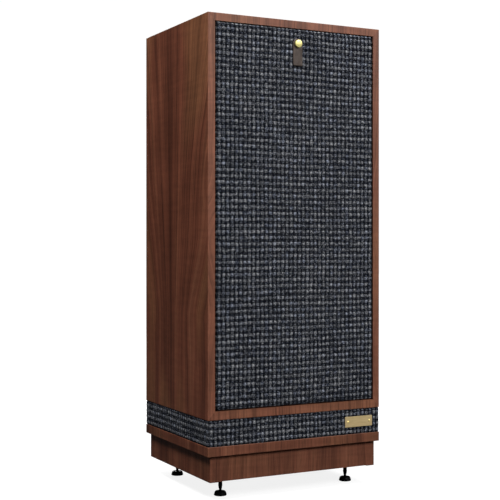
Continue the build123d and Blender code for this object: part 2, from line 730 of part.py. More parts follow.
def driver_basket():
    """The cast frame: flange, tapered wall with windows between the spokes, and rear seat."""
    spider_seat_t = 3.0
    points = [
        (FLANGE_INNER_R, 0),
        (FLANGE_R, 0),
        (FLANGE_R, FLANGE_THICKNESS),
        (DRIVER_CUTOUT_R - 1, FLANGE_THICKNESS),
        (DRIVER_CUTOUT_R - 3, FLANGE_THICKNESS + 8),
        (BASKET_REAR_R + 6, SPIDER_DEPTH + spider_seat_t + 2),
        (BASKET_REAR_R, BASKET_REAR),
        (WINDING_R + 1.5, BASKET_REAR),
        (WINDING_R + 1.5, BASKET_REAR - BASKET_WALL),
        (BASKET_REAR_R - BASKET_WALL, BASKET_REAR - BASKET_WALL),
        (BASKET_REAR_R - BASKET_WALL, SPIDER_DEPTH + spider_seat_t),
        (SPIDER_SEAT_R - 6, SPIDER_DEPTH + spider_seat_t),
        (SPIDER_SEAT_R - 6, SPIDER_DEPTH),
        (BASKET_REAR_R + 1, SPIDER_DEPTH),
        (FLANGE_INNER_R, FLANGE_THICKNESS + 8),
    ]
    basket = turned_y(Polygon(*points, align=None), 0, BAFFLE_Y, DRIVER_Z)
    y0, y1 = BAFFLE_Y + 22, BAFFLE_Y + 62
    for angle in driver_bolt_angles():
        window = prism_xz([(70, -34), (150, -44), (150, 44), (70, 34)], y0, y1)
        basket -= Pos(0, 0, DRIVER_Z) * Rot(0, angle, 0) * window
    for x, z in driver_bolt_places():
        basket -= rod_y(x, BAFFLE_Y - 1, BAFFLE_Y + FLANGE_THICKNESS + 1, z, BOLT_R + 0.15)
    return basket


def driver_bolts():
    """Socket-headed bolts that hold the driver to the baffle."""
    bolts = []
    for x, z in driver_bolt_places():
        bolt = rod_y(x, BAFFLE_Y - 4, BAFFLE_Y, z, BOLT_HEAD_R)
        bolt += rod_y(x, BAFFLE_Y - 0.5, BAFFLE_Y + BOLT_LENGTH - 5, z, BOLT_R)
        key = extrude(RegularPolygon(2.0, 6), amount=2.2, both=True)
        bolts.append(bolt - Pos(x, BAFFLE_Y - 4, z) * Rot(90, 0, 0) * key)
    return bolts


def woofer_surround():
    """A half-roll of rubber with a flat lip on each side."""
    t, lip = ROLL_THICKNESS, 6.0
    front = -t - SEAT_GAP
    back = front + t
    inner_r, outer_r = CONE_OUTER_R, ROLL_OUTER_R
    mid_r, half = (inner_r + outer_r) / 2, (outer_r - inner_r) / 2
    crest = front - half
    outside = ThreePointArc((inner_r, front), (mid_r, crest), (outer_r, front)).edge()
    inside = ThreePointArc((outer_r - t, back), (mid_r, crest + t), (inner_r + t, back)).edge()
    outer_run = [(outer_r, front), (outer_r + lip, front), (outer_r + lip, back), (outer_r - t, back)]
    inner_run = [(inner_r + t, back), (inner_r - lip, back), (inner_r - lip, front), (inner_r, front)]
    edges = [outside]
    edges += [Line(a, b).edge() for a, b in zip(outer_run, outer_run[1:])]
    edges += [inside]
    edges += [Line(a, b).edge() for a, b in zip(inner_run, inner_run[1:])]
    return turned_y(closed_face(*edges), 0, BAFFLE_Y, DRIVER_Z)


def woofer_cone():
    """A curved paper cone from the surround down to the voice coil."""
    curve = [
        (CONE_OUTER_R, 0.1),
        (100, 9),
        (78, 25),
        (56, 44),
        (CONE_NECK_R, CONE_NECK_DEPTH),
    ]
    return turned_y(shell_face(curve, (0, CONE_THICKNESS)), 0, BAFFLE_Y, DRIVER_Z)


def woofer_voice_coil():
    """The coil former, and the winding that sits in the magnetic gap."""
    start, gap_middle, former_end = CONE_NECK_DEPTH + 2, BASKET_REAR + 4, BASKET_REAR + 16
    outer = COIL_INNER_R + COIL_WALL
    former = rod_y(0, BAFFLE_Y + start, BAFFLE_Y + former_end, DRIVER_Z, outer)
    former -= rod_y(0, BAFFLE_Y, BAFFLE_Y + former_end + 1, DRIVER_Z, COIL_INNER_R)
    winding = rod_y(0, BAFFLE_Y + gap_middle - 8, BAFFLE_Y + gap_middle + 8, DRIVER_Z, WINDING_R)
    winding -= rod_y(0, BAFFLE_Y, BAFFLE_Y + former_end, DRIVER_Z, outer)
    return [former, winding]


def woofer_spider():
    """A corrugated fabric disc that centres the voice coil."""
    inner_r, outer_r, t, swing, waves = COIL_INNER_R + COIL_WALL + 0.1, SPIDER_SEAT_R, 0.8, 1.6, 5
    count = waves * 4
    curve = []
    for i in range(count + 1):
        r = inner_r + (outer_r - inner_r) * i / count
        curve.append((r, SPIDER_DEPTH - t - swing + swing * cos(2 * pi * waves * i / count)))
    return turned_y(shell_face(curve, (0, t - 0.05)), 0, BAFFLE_Y, DRIVER_Z)


def motor_levels():
    """Depths of the motor's plates, from the baffle's front face."""
    top_back = BASKET_REAR + TOP_PLATE_THICKNESS
    magnet_back = top_back + MAGNET_THICKNESS
    return BASKET_REAR, top_back, magnet_back, magnet_back + BACK_PLATE_THICKNESS


def woofer_steel():
    """The steel top plate, and the back plate with its bored pole."""
    front, top_back, magnet_back, rear = motor_levels()
    gap_r = WINDING_R + 1.0
    plate_r = MAGNET_R - 8
    top = rod_y(0, BAFFLE_Y + front, BAFFLE_Y + top_back, DRIVER_Z, plate_r)
    top -= rod_y(0, BAFFLE_Y, BAFFLE_Y + top_back + 1, DRIVER_Z, gap_r)
    back = rod_y(0, BAFFLE_Y + magnet_back, BAFFLE_Y + rear, DRIVER_Z, plate_r)
    back += rod_y(0, BAFFLE_Y + front, BAFFLE_Y + magnet_back + 1, DRIVER_Z, POLE_R)
    back -= rod_y(0, BAFFLE_Y, BAFFLE_Y + rear + 1, DRIVER_Z, POLE_BORE_R)
    return [top, back]


def woofer_magnet():
    _, top_back, magnet_back, _ = motor_levels()
    ring = rod_y(0, BAFFLE_Y + top_back, BAFFLE_Y + magnet_back, DRIVER_Z, MAGNET_R)
    return ring - rod_y(0, BAFFLE_Y, BAFFLE_Y + magnet_back + 1, DRIVER_Z, MAGNET_INNER_R)


def tweeter_horn():
    """The tweeter's fixed horn: a throat through the pole, and a flared mouth inside the cone's neck."""
    rear = motor_levels()[3]
    curve = [
        (HORN_MOUTH_R, HORN_MOUTH_DEPTH),
        (HORN_MOUTH_R - 6.5, HORN_MOUTH_DEPTH + 9),
        (20.0, HORN_MOUTH_DEPTH + 24),
        (14.6, BASKET_REAR + 2),
        (HORN_THROAT_R, rear),
    ]
    return turned_y(shell_face(curve, (HORN_WALL, 0)), 0, BAFFLE_Y, DRIVER_Z)


def tweeter_motor():
    """The tweeter's magnet system behind the back plate, with a slot for its coil."""
    start = BAFFLE_Y + motor_levels()[3]
    end = start + TWEETER_MOTOR_LENGTH
    motor = rod_y(0, start, end, DRIVER_Z, TWEETER_R)
    motor -= rod_y(0, start - 1, end + 1, DRIVER_Z, HORN_THROAT_R + HORN_WALL + 0.4)
    slot = rod_y(0, end - 10, end + 1, DRIVER_Z, TWEETER_DOME_R + 1.4)
    slot -= rod_y(0, end - 11, end + 2, DRIVER_Z, TWEETER_DOME_R - 1.8)
    return motor - slot


def tweeter_diaphragm():
    """A thin dome with its short coil former."""
    start = motor_levels()[3] + TWEETER_MOTOR_LENGTH + 1.2
    r, rise, t = TWEETER_DOME_R, TWEETER_DOME_RISE, 0.6
    sphere_r = (r**2 + rise**2) / (2 * rise)
    centre = BAFFLE_Y + start + rise - sphere_r
    cap = Pos(0, centre, DRIVER_Z) * (Sphere(sphere_r) - Sphere(sphere_r - t))
    dome = cap & rod_y(0, BAFFLE_Y + start, BAFFLE_Y + start + rise + 1, DRIVER_Z, r)
    coil = rod_y(0, BAFFLE_Y + start - 6, BAFFLE_Y + start + 0.5, DRIVER_Z, r)
    coil -= rod_y(0, BAFFLE_Y, BAFFLE_Y + start + 1, DRIVER_Z, r - t)
    return dome + coil


def tweeter_cover():
    """The cast cup that closes the tweeter's back."""
    start = BAFFLE_Y + motor_levels()[3] + TWEETER_MOTOR_LENGTH
    end = start + TWEETER_COVER_LENGTH
    cover = rod_y(0, start, end, DRIVER_Z, TWEETER_R)
    cover = fillet(cover.faces().sort_by(Axis.Y)[-1].edges(), 5)
    return cover - rod_y(0, start - 1, end - 3, DRIVER_Z, TWEETER_R - 9)


# Level controls


def control_centres():
    return {"treble": -CONTROL_SPACING / 2, "presence": CONTROL_SPACING / 2}


def control_plate():
    """The brass plate behind the two knobs."""
    w, h, t = CONTROL_PLATE
    y0, y1 = BAFFLE_Y, BAFFLE_Y + t
    plate = block(-w / 2, w / 2, y0, y1, CONTROL_Z - h / 2, CONTROL_Z + h / 2)
    plate = fillet(plate.edges().filter_by(Axis.Y), 3)
    for x in control_centres().values():
        plate -= rod_y(x, y0 - 1, y1 + 1, CONTROL_Z, SPINDLE_R + 1.2)
    return plate


def level_switches():
    """Two rotary switches behind the control plate, each with a bushing for its spindle."""
    back = BAFFLE_Y + CONTROL_PLATE[2]
    half = SWITCH_SIZE / 2
    switches = []
    for x in control_centres().values():
        body = block(
            x - half, x + half, back + 1.5, back + 1.5 + SWITCH_DEPTH, CONTROL_Z - half, CONTROL_Z + half
        )
        body = fillet(body.edges().filter_by(Axis.Y), 3)
        body += rod_y(x, back + 0.1, back + 4, CONTROL_Z, SPINDLE_R + 2.5)
        for lug in (-8, 0, 8):
            lug_y = back + 1 + SWITCH_DEPTH
            body += block(x + lug - 1.2, x + lug + 1.2, lug_y, lug_y + 6, CONTROL_Z - 0.4, CONTROL_Z + 0.4)
        switches.append(body - rod_y(x, back - 1, back + 12, CONTROL_Z, SPINDLE_R + RUNNING_GAP))
    return switches


def control_knob(x):
    """A fluted knob with a pointer groove, and the spindle it is fixed to."""
    front = BAFFLE_Y - 1.0 - KNOB_LENGTH
    knob = rod_y(x, front, BAFFLE_Y - 1.0, CONTROL_Z, KNOB_R)
    knob = fillet(knob.faces().sort_by(Axis.Y)[0].edges(), 1.5)
    flutes = 24
    for i in range(flutes):
        angle = 2 * pi * (i + 0.5) / flutes
        flute_x, flute_z = x + KNOB_R * cos(angle), CONTROL_Z + KNOB_R * sin(angle)
        knob -= rod_y(flute_x, front + 2, BAFFLE_Y, flute_z, 0.8)
    knob -= block(x - 0.6, x + 0.6, front - 1, front + 0.8, CONTROL_Z + 3, CONTROL_Z + KNOB_R + 1)
    knob -= rod_y(x, BAFFLE_Y - 9, BAFFLE_Y, CONTROL_Z, SPINDLE_R)
    spindle = rod_y(x, BAFFLE_Y - 9, BAFFLE_Y + CONTROL_PLATE[2] + 11, CONTROL_Z, SPINDLE_R)
    return [knob, spindle]


# Rear terminals


def terminal_faces():
    """Y of the terminal plate's outer face, and of the clamp ring's two faces at rest."""
    outer = REAR_FACE_Y - TERMINAL_RECESS
    clamp_start = outer + 2.0 + SEAT_GAP
    return outer, clamp_start, clamp_start + CLAMP_T


def terminal_plate():
    w, h, t = TERMINAL_PLATE
    outer = terminal_faces()[0]
    plate = block(-w / 2, w / 2, outer - t, outer, TERMINAL_Z - h / 2, TERMINAL_Z + h / 2)
    plate = fillet(plate.edges().filter_by(Axis.Y), 3)
    for side in (-1, 1):
        plate -= rod_y(side * POST_X, outer - t - 1, outer + 1, TERMINAL_Z, POST_STUD_R + SEAT_GAP)
    return plate


def post_studs():
    """Two flanged studs with a plug socket in the outer end and a nut inside."""
    outer, _, clamp_end = terminal_faces()
    inner_end = outer - TERMINAL_PLATE[2] - 14
    outer_end = clamp_end + SEAT_GAP + CAP_LENGTH + 1
    studs = []
    for side in (-1, 1):
        x = side * POST_X
        stud = rod_y(x, inner_end, outer_end, TERMINAL_Z, POST_STUD_R)
        stud += rod_y(x, outer, outer + 2.0, TERMINAL_Z, POST_FLANGE_R)
        nut_y = outer - TERMINAL_PLATE[2]
        hexagon = extrude(RegularPolygon(7.0, 6), amount=5)
        stud += Pos(x, nut_y, TERMINAL_Z) * Rot(90, 0, 0) * hexagon
        studs.append(stud - rod_y(x, outer_end - SOCKET_DEPTH, outer_end + 1, TERMINAL_Z, SOCKET_R))
    return studs


def post_clamp(side):
    """The loose ring that presses the bare wire against the stud's flange."""
    _, start, end = terminal_faces()
    ring = rod_y(side * POST_X, start, end, TERMINAL_Z, CLAMP_R)
    return ring - rod_y(side * POST_X, start - 1, end + 1, TERMINAL_Z, POST_STUD_R + SEAT_GAP)


def post_cap(side):
    """The screw cap of a binding post, with grip flutes."""
    x = side * POST_X
    start = terminal_faces()[2] + SEAT_GAP
    end = start + CAP_LENGTH
    cap = rod_y(x, start, end, TERMINAL_Z, CAP_R)
    cap = fillet(cap.edges(), 1.0)
    flutes = 12
    for i in range(flutes):
        angle = 2 * pi * i / flutes
        flute_x, flute_z = x + (CAP_R + 0.7) * cos(angle), TERMINAL_Z + (CAP_R + 0.7) * sin(angle)
        cap -= rod_y(flute_x, start + 3, end + 1, flute_z, 1.6)
    return cap - rod_y(x, start - 1, end + 1, TERMINAL_Z, POST_STUD_R + RUNNING_GAP)


# Crossover and wiring


def board_faces():
    """Y of the crossover board's front and back faces."""
    back = REAR_INNER_Y - BOARD_STANDOFF
    return back - BOARD_SIZE[2], back


def crossover_board():
    """The circuit board with its four stand-off bushes."""
    w, h, _ = BOARD_SIZE
    front, back = board_faces()
    board = block(-w / 2, w / 2, front, back, BOARD_Z - h / 2, BOARD_Z + h / 2)
    bushes = []
    for sx, sz in CORNERS.values():
        x, z = sx * (w / 2 - 8), BOARD_Z + sz * (h / 2 - 8)
        board -= rod_y(x, front - 1, back + 1, z, 2.0)
        bushes.append(rod_y(x, back, REAR_INNER_Y, z, 4.5))
    return [board, *bushes]


def inductors():
    """Three air-cored coils: each a flanged bobbin and its winding."""
    front = board_faces()[0]
    shapes = []
    for x, z, radius, length in ((-58, 590, 32, 24), (52, 594, 26, 20), (-62, 508, 24, 20)):
        core_r, flange_t = radius * 0.45, 1.5
        bobbin = rod_y(x, front - length, front, z, core_r)
        bobbin += rod_y(x, front - length, front - length + flange_t, z, radius)
        bobbin += rod_y(x, front - flange_t, front, z, radius)
        bobbin -= rod_y(x, front - length - 1, front + 1, z, core_r - 2)
        winding = rod_y(x, front - length + flange_t, front - flange_t, z, radius - 1.5)
        shapes += [bobbin, winding - rod_y(x, front - length, front, z, core_r)]
    return shapes


def capacitors():
    """Film capacitors lying on the board, and wire-wound resistor blocks beside them."""
    front = board_faces()[0]
    shapes = []
    for x, z, radius, length in ((40, 546, 14, 52), (42, 510, 12, 46), (44, 482, 10, 40)):
        can = Pos(x, front - radius, z) * Rot(0, 90, 0) * Cylinder(radius, length)
        shapes.append(fillet(can.edges().filter_by(GeomType.CIRCLE), 1.5))
    for x, z in ((-6, 500), (-6, 520), (-6, 540)):
        shapes.append(block(x - 18, x + 18, front - 9, front, z - 4.5, z + 4.5))
    return shapes


def cable(points, radius=1.8):
    """A round cable along a smooth path."""
    path = Spline(*points)
    start = Plane(origin=path @ 0, z_dir=path % 0)
    return sweep(start * Circle(radius), path=path)


def internal_cables():
    """Cables from the terminals to the crossover, and on to the driver and the two switches."""
    post_end = terminal_faces()[0] - TERMINAL_PLATE[2] - 15
    board_y = board_faces()[0] - 3
    runs = []
    for side in (-1, 1):
        post = (side * POST_X, post_end, TERMINAL_Z)
        runs.append([post, (side * 40, 100, 350), (side * 46, 112, 430), (side * 20, board_y, 468)])
        driver = (side * 16, -62, DRIVER_Z - 100)
        runs.append([(side * 22, board_y, 612), (side * 42, 100, 640), (side * 44, 60, 690), driver])
        switch_y = BAFFLE_Y + CONTROL_PLATE[2] + SWITCH_DEPTH + 10
        switch = (side * CONTROL_SPACING / 2, switch_y, CONTROL_Z)
        runs.append([(side * 8, board_y, 622), (side * 20, 60, 625), (side * 31, -60, 612), switch])
    return [cable(run) for run in runs]


# Assembly


def drilled(shape, holes):
    for hole in holes:
        shape -= hole
    return shape


def all_nodes():
    """Every sub-part by node name; a list is a group of separate solids."""
    holes = screws_at(SEAT_GAP)
    faceplate_holes, terminal_holes, base_holes = holes[0:4], holes[4:8], holes[8:12]
    nodes = {
        "left_side_panel": side_panel(-1),
        "right_side_panel": side_panel(1),
        "top_panel": top_panel(),
        "bottom_panel": bottom_panel(),
        "rear_panel": drilled(rear_panel(), terminal_holes),
        "front_baffle": drilled(front_baffle(), faceplate_holes),
        "cabinet_braces": cabinet_braces(),
        "damping_lining": damping_lining(),
        "port_tube": port_tube(),
        "port_diffuser": port_diffuser(),
        "band_frame": band_frame(),
        "band_cloth": band_cloth(),
        "corner_posts": [drilled(post, base_holes) for post in corner_posts()],
        "base_board": drilled(base_board(), base_holes),
        "badge_plate": badge_plate(),
        "badge_pins": badge_pins(),
        "plinth_rails": plinth_rails(),
        "plinth_corner_blocks": plinth_corner_blocks(),
        "foot_inserts": foot_inserts(),
        "foot_lock_nuts": foot_lock_nuts(),
        "grille_frame": grille_frame(),
        "grille_cloth": grille_cloth(),
        "pull_tab": pull_tab(),
        "pull_tab_root": pull_tab_root(),
        "tab_stud": tab_stud(),
        "grille_magnets": magnet_discs(BAFFLE_Y - 0.5, -1),
        "baffle_magnets": magnet_discs(BAFFLE_Y, 1),
        "driver_basket": driver_basket(),
        "woofer_surround": woofer_surround(),
        "woofer_cone": woofer_cone(),
        "woofer_voice_coil": woofer_voice_coil(),
        "woofer_spider": woofer_spider(),
        "woofer_steel": woofer_steel(),
        "woofer_magnet": woofer_magnet(),
        "tweeter_horn": tweeter_horn(),
        "tweeter_motor": tweeter_motor(),
        "tweeter_diaphragm": tweeter_diaphragm(),
        "tweeter_cover": tweeter_cover(),
        "control_plate": drilled(control_plate(), faceplate_holes),
        "level_switches": level_switches(),
        "terminal_plate": drilled(terminal_plate(), terminal_holes),
        "post_studs": post_studs(),
        "post_clamp_left": post_clamp(-1),
        "post_clamp_right": post_clamp(1),
        "post_cap_left": post_cap(-1),
        "post_cap_right": post_cap(1),
        "crossover_board": crossover_board(),
        "crossover_parts": inductors() + capacitors(),
        "internal_cables": internal_cables(),
        "screws_and_bolts": screws_at() + driver_bolts(),
    }
    for name, x in control_centres().items():
        nodes[name + "_knob"] = control_knob(x)
    for name, (x, y) in at_corners(FOOT_X, FOOT_Y).items():
        nodes["foot_spike_" + name] = foot_spike(x, y)
        nodes["foot_pad_" + name] = foot_pad(x, y)
    return nodes


def solids_of(shape):
    """The separate solids of a shape or of a list of shapes."""
    if isinstance(shape, list):
        return [solid for member in shape for solid in member.solids()]
    return shape.solids()


os.makedirs("parts", exist_ok=True)
for node_name, node_shape in all_nodes().items():
    export_step(Compound(children=list(solids_of(node_shape))), "parts/" + node_name + ".step")
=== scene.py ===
"""The looks of a floorstanding loudspeaker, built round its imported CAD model.

Walnut veneer, woven cloth with real relief, a leather pull tab, threaded spikes, and the finishes of the
driver and the controls. Lengths are in metres.
"""

import json
import math

import bpy
import numpy as np
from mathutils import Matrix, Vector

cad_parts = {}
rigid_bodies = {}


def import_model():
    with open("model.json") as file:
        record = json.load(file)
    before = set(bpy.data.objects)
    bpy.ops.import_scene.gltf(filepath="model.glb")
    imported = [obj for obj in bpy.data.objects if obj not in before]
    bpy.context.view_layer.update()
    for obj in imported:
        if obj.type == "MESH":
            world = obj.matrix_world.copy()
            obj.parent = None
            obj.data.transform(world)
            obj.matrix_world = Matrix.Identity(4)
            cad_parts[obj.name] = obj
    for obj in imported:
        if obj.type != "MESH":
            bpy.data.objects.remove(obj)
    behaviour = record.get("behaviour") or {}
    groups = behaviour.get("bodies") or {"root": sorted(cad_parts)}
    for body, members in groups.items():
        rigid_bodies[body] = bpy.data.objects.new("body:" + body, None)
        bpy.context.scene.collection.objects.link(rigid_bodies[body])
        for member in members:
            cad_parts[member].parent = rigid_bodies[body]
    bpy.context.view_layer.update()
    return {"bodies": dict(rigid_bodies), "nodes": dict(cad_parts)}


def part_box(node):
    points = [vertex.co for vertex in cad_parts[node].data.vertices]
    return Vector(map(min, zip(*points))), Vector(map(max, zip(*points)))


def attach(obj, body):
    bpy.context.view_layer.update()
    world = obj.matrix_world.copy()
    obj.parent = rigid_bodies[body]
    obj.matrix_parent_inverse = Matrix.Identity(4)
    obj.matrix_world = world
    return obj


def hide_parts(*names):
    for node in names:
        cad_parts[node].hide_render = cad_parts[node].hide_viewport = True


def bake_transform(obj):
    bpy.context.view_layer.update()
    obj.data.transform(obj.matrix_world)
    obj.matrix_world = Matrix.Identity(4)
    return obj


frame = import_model()
nodes = frame["nodes"]

# Weave: one repeat holds a broad and a narrow yarn each way
REPEAT_X = 0.01093
REPEAT_Z = 0.01393
YARN_RELIEF = 0.0013
POINTS_PER_REPEAT = 6

# Edges of the cloths
GRILLE_ROUND = 0.005
GRILLE_BACK_GAP = 0.001
BAND_ROUND = 0.003
BAND_SINK = 0.0003
TUCK_HEIGHT = 0.002
TUCK_DEPTH = 0.0015

# Half the share of a repeat that the broad yarn takes, and how far a yarn's edges stray, in repeats
BROAD_X = 0.34
BROAD_Z = 0.29
YARN_RAGGED = 0.08

# Spike
THREAD_PITCH = 0.0015
THREAD_DEPTH = 0.0008
TIP_RADIUS = 0.0006
POINT_RADIUS = 0.0024
POINT_HEIGHT = 0.0038
CONE_HEIGHT = 0.0174
PLAIN_COLLAR = 0.0015
RUN_OUT = 0.002
LEAD_IN = 0.001

# Pull tab
TAB_CORNER = 0.0035
TAB_DISH = 0.00035
TAB_SINK = 0.00015
TAB_SINK_HEIGHT = 0.03
TAB_SQUARENESS = 0.35
TAB_TAPER = 0.0015
TAB_END_THICKNESS = 0.35

# Surround and spider, each with a glued rim inside and out
RIM_WIDTH = 0.006
SURROUND_WIDTH = 0.032
RUBBER_FRONT = 0.0014
RUBBER_THICKNESS = 0.0012
SPIDER_WAVES = 5
SPIDER_THICKNESS = 0.0005

# Points round the tab and the spikes
POINTS_AROUND = 28

CORNERS = ("front_left", "front_right", "rear_left", "rear_right")

# Colours, linear
WALNUT_DARK = (0.063, 0.0185, 0.0105)
WALNUT_MID = (0.147, 0.047, 0.026)
WALNUT_LIGHT = (0.235, 0.092, 0.05)
WALNUT_GOLD = (0.195, 0.083, 0.038)
# Lighter colour painted on wood faces turned to the front or back: painted light
WALNUT_FRONT_PAINTED_LIGHT = (0.235, 0.094, 0.056)
YARN_BLACK = (0.004, 0.005, 0.008)
YARN_SLATE = (0.03, 0.033, 0.042)
YARN_GREY = (0.115, 0.119, 0.13)
YARN_PALE = (0.3, 0.305, 0.322)
YARN_BLUE_TINT = (0.9, 0.98, 1.17)
PULP_DARK = (0.012, 0.011, 0.01)
PULP_FIBRE = (0.06, 0.055, 0.05)
PULP_DUST = (0.03, 0.026, 0.022)
BLACK = (0.012, 0.012, 0.013)
COAL = (0.03, 0.03, 0.032)
BRASS = (0.78, 0.56, 0.2)
BRASS_DARK = tuple(c * 0.7 for c in BRASS)

# Middle of the range of a noise texture's values
NOISE_SPAN = (0.3, 0.7)
# Least part of a normal that turns a face to the front or upwards
FACING = 0.6


# Node graphs


class Graph:
    """A material's node graph, with short calls for the nodes used most."""

    def __init__(self, name):
        self.material = bpy.data.materials.new(name)
        self.material.use_nodes = True
        self.tree = self.material.node_tree
        self.shader = self.tree.nodes["Principled BSDF"]

    def add(self, kind, inputs=(), **settings):
        """Adds a shader node; `inputs` gives each socket a value or another node's output."""
        node = self.tree.nodes.new("ShaderNode" + kind)
        for key, value in settings.items():
            setattr(node, key, value)
        for key, value in dict(inputs).items():
            self.put(value, node.inputs[key])
        return node

    def put(self, value, socket):
        if isinstance(value, bpy.types.NodeSocket):
            self.tree.links.new(value, socket)
        elif socket.type == "RGBA":
            socket.default_value = (*value, 1.0)
        else:
            socket.default_value = value

    def set(self, **values):
        """Sets inputs of the surface shader; an underscore stands for a space."""
        for key, value in values.items():
            self.put(value, self.shader.inputs[key.replace("_", " ")])

    def position(self):
        return self.add("TexCoord").outputs["Object"]

    def parts(self, vector):
        node = self.add("SeparateXYZ", {0: vector})
        return [node.outputs[i] for i in range(3)]

    def vector(self, x=0.0, y=0.0, z=0.0):
        return self.add("CombineXYZ", {0: x, 1: y, 2: z}).outputs[0]

    def math(self, operation, a, b=0.0, c=0.0):
        return self.add("Math", {0: a, 1: b, 2: c}, operation=operation).outputs[0]

    def stretch(self, vector, scale):
        return self.add("VectorMath", {0: vector, 1: scale}, operation="MULTIPLY").outputs[0]

    def length(self, vector):
        return self.add("VectorMath", {0: vector}, operation="LENGTH").outputs["Value"]

    def noise(self, vector, scale=1.0, detail=2.0, roughness=0.5):
        inputs = {"Vector": vector, "Scale": scale, "Detail": detail, "Roughness": roughness}
        return self.add("TexNoise", inputs).outputs["Fac"]

    def random(self, x, y, seed):
        """A random value for each whole-numbered place."""
        place = self.vector(x, y, seed)
        return self.add("TexWhiteNoise", {"Vector": place}, noise_dimensions="3D").outputs["Value"]

    def remap(self, value, low, high, new_low=0.0, new_high=1.0):
        names = ("Value", "From Min", "From Max", "To Min", "To Max")
        return self.add("MapRange", zip(names, (value, low, high, new_low, new_high))).outputs[0]

    def choose(self, switch, when_off, when_on):
        """One value where the switch is 0 and the other where it is 1."""
        return self.remap(switch, 0, 1, when_off, when_on)

    def shift(self, value, by, low, high, down, up):
        """`value` with an amount added that runs from `down` to `up` as `by` runs from `low` to `high`."""
        return self.math("ADD", value, self.remap(by, low, high, down, up))

    def blend(self, factor, a, b, kind="MIX"):
        node = self.add("Mix", data_type="RGBA", blend_type=kind, clamp_factor=True)
        for value, index in ((factor, 0), (a, 6), (b, 7)):
            self.put(value, node.inputs[index])
        return node.outputs[2]

    def shaded(self, colour, shade):
        grey = self.add("CombineColor", {0: shade, 1: shade, 2: shade}).outputs[0]
        return self.blend(1.0, colour, grey, "MULTIPLY")

    def ramp(self, value, *stops):
        node = self.add("ValToRGB", {0: value})
        elements = node.color_ramp.elements
        while len(elements) < len(stops):
            elements.new(0.5)
        for element, (place, colour) in zip(elements, stops):
            element.position = place
            element.color = (*colour, 1.0)
        return node.outputs[0]

    def bump(self, height, distance, strength=1.0):
        """Adds fine relief to the surface and gives the finished material."""
        inputs = {"Height": height, "Distance": distance, "Strength": strength}
        self.put(self.add("Bump", inputs).outputs[0], self.shader.inputs["Normal"])
        return self.material


def grain(g, across, along, scales, seed, detail=2, roughness=0.5):
    """Noise drawn out along the wood; `scales` are its cells to the metre across and along the grain."""
    place = g.vector(g.math("MULTIPLY", across, scales[0]), g.math("MULTIPLY", along, scales[1]), seed)
    return g.noise(place, 1, detail, roughness)


def walnut(name, seed, fan=False, tone=1.0, front=0.6, line_depth=0.6):
    """Oiled walnut veneer, its grain upright on vertical faces.

    `fan` spreads a panel's figure upwards. `tone` is the brightness, `front` the share of a lighter, even
    colour painted as light on the front edges and other faces turned to the front or back, and `line_depth`
    the brightness left in the growth lines.
    """
    g = Graph(name)
    x, y, z = g.parts(g.position())
    normal = g.parts(g.add("TexCoord").outputs["Normal"])
    faces_front = g.math("GREATER_THAN", g.math("ABSOLUTE", normal[1]), FACING)
    faces_up = g.math("GREATER_THAN", g.math("ABSOLUTE", normal[2]), FACING)
    along = g.choose(faces_up, z, x)
    drift_size = 0.03
    if fan:
        # The figure opens between two heights, about an upright line just behind the middle
        foot, head, centre = 0.42, 1.12, 0.015
        narrowest, widest = 0.45, 1.3
        spread = g.remap(z, foot, head, narrowest, widest)
        y = g.math("DIVIDE", g.math("SUBTRACT", y, centre), spread)
        from_centre = g.math("ABSOLUTE", y)
        drift_size = g.remap(from_centre, 0.06, 0.3, 0.015, 0.16)
        line_depth = g.remap(from_centre, 0.13, 0.24, 0.62, 0.92)
    across = g.choose(faces_front, y, x)
    drift = grain(g, across, along, (4, 2.4), seed)
    across = g.math("ADD", across, g.math("MULTIPLY", drift, drift_size))
    bands = grain(g, across, along, (26, 0.4), seed + 3, 3, 0.6)
    lines = grain(g, across, along, (55, 0.35), seed + 5, 2, 0.55)
    streaks = grain(g, across, along, (230, 1.8), seed, 3, 0.6)
    pores = grain(g, across, along, (1500, 30), seed, 1)
    figure = grain(g, across, along, (12, 110), seed)
    patches = grain(g, across, along, (6, 2.6), seed + 9, 1)
    blotches = g.noise(g.position(), 9, 2)
    if fan:
        bands = g.remap(bands, 0, 1, 0.16, 0.8)
    colour = g.ramp(bands, (0.32, WALNUT_DARK), (0.5, WALNUT_MID), (0.72, WALNUT_LIGHT))
    colour = g.blend(g.remap(patches, 0.48, 0.66, 0, 0.65), colour, WALNUT_GOLD)
    # Faces turned to the front or back are painted lighter: painted light, as if the lamps fell more on them
    colour = g.blend(g.math("MULTIPLY", faces_front, front), colour, WALNUT_FRONT_PAINTED_LIGHT)
    low = g.choose(faces_front, 0.72 * tone, 0.84 * tone)
    high = g.choose(faces_front, 1.26 * tone, 1.16 * tone)
    from_line = g.math("ABSOLUTE", g.math("SUBTRACT", lines, 0.5))
    shade = g.remap(streaks, *NOISE_SPAN, low, high)
    shade = g.math("MULTIPLY", shade, g.remap(blotches, 0.35, 0.65, 0.9, 1.1))
    shade = g.math("MULTIPLY", shade, g.remap(from_line, 0.0, 0.05, line_depth, 1.05))
    shade = g.math("MULTIPLY", shade, g.remap(figure, *NOISE_SPAN, 0.91, 1.09))
    shade = g.math("MULTIPLY", shade, g.remap(pores, 0.34, 0.42, 0.65, 1.0))
    g.set(Base_Color=g.shaded(colour, shade))
    g.set(Roughness=g.remap(streaks, *NOISE_SPAN, 0.55, 0.42), Specular_IOR_Level=0.16)
    return g.bump(g.math("MULTIPLY_ADD", streaks, 0.3, pores), 0.00012, 0.5)


def yarn(g, place, broad_half):
    """Whether a place across the weave is on the broad yarn, and the height of the yarn's round there."""
    from_middle = g.math("ABSOLUTE", g.math("SUBTRACT", g.math("FRACT", place), 0.5))
    broad = g.math("LESS_THAN", from_middle, broad_half)
    on_narrow = g.math("DIVIDE", g.math("SUBTRACT", 0.5, from_middle), 0.5 - broad_half)
    on_broad = g.math("DIVIDE", from_middle, broad_half)
    edge = g.choose(broad, on_narrow, on_broad)
    return broad, g.math("COSINE", g.math("MULTIPLY", edge, math.pi / 2))


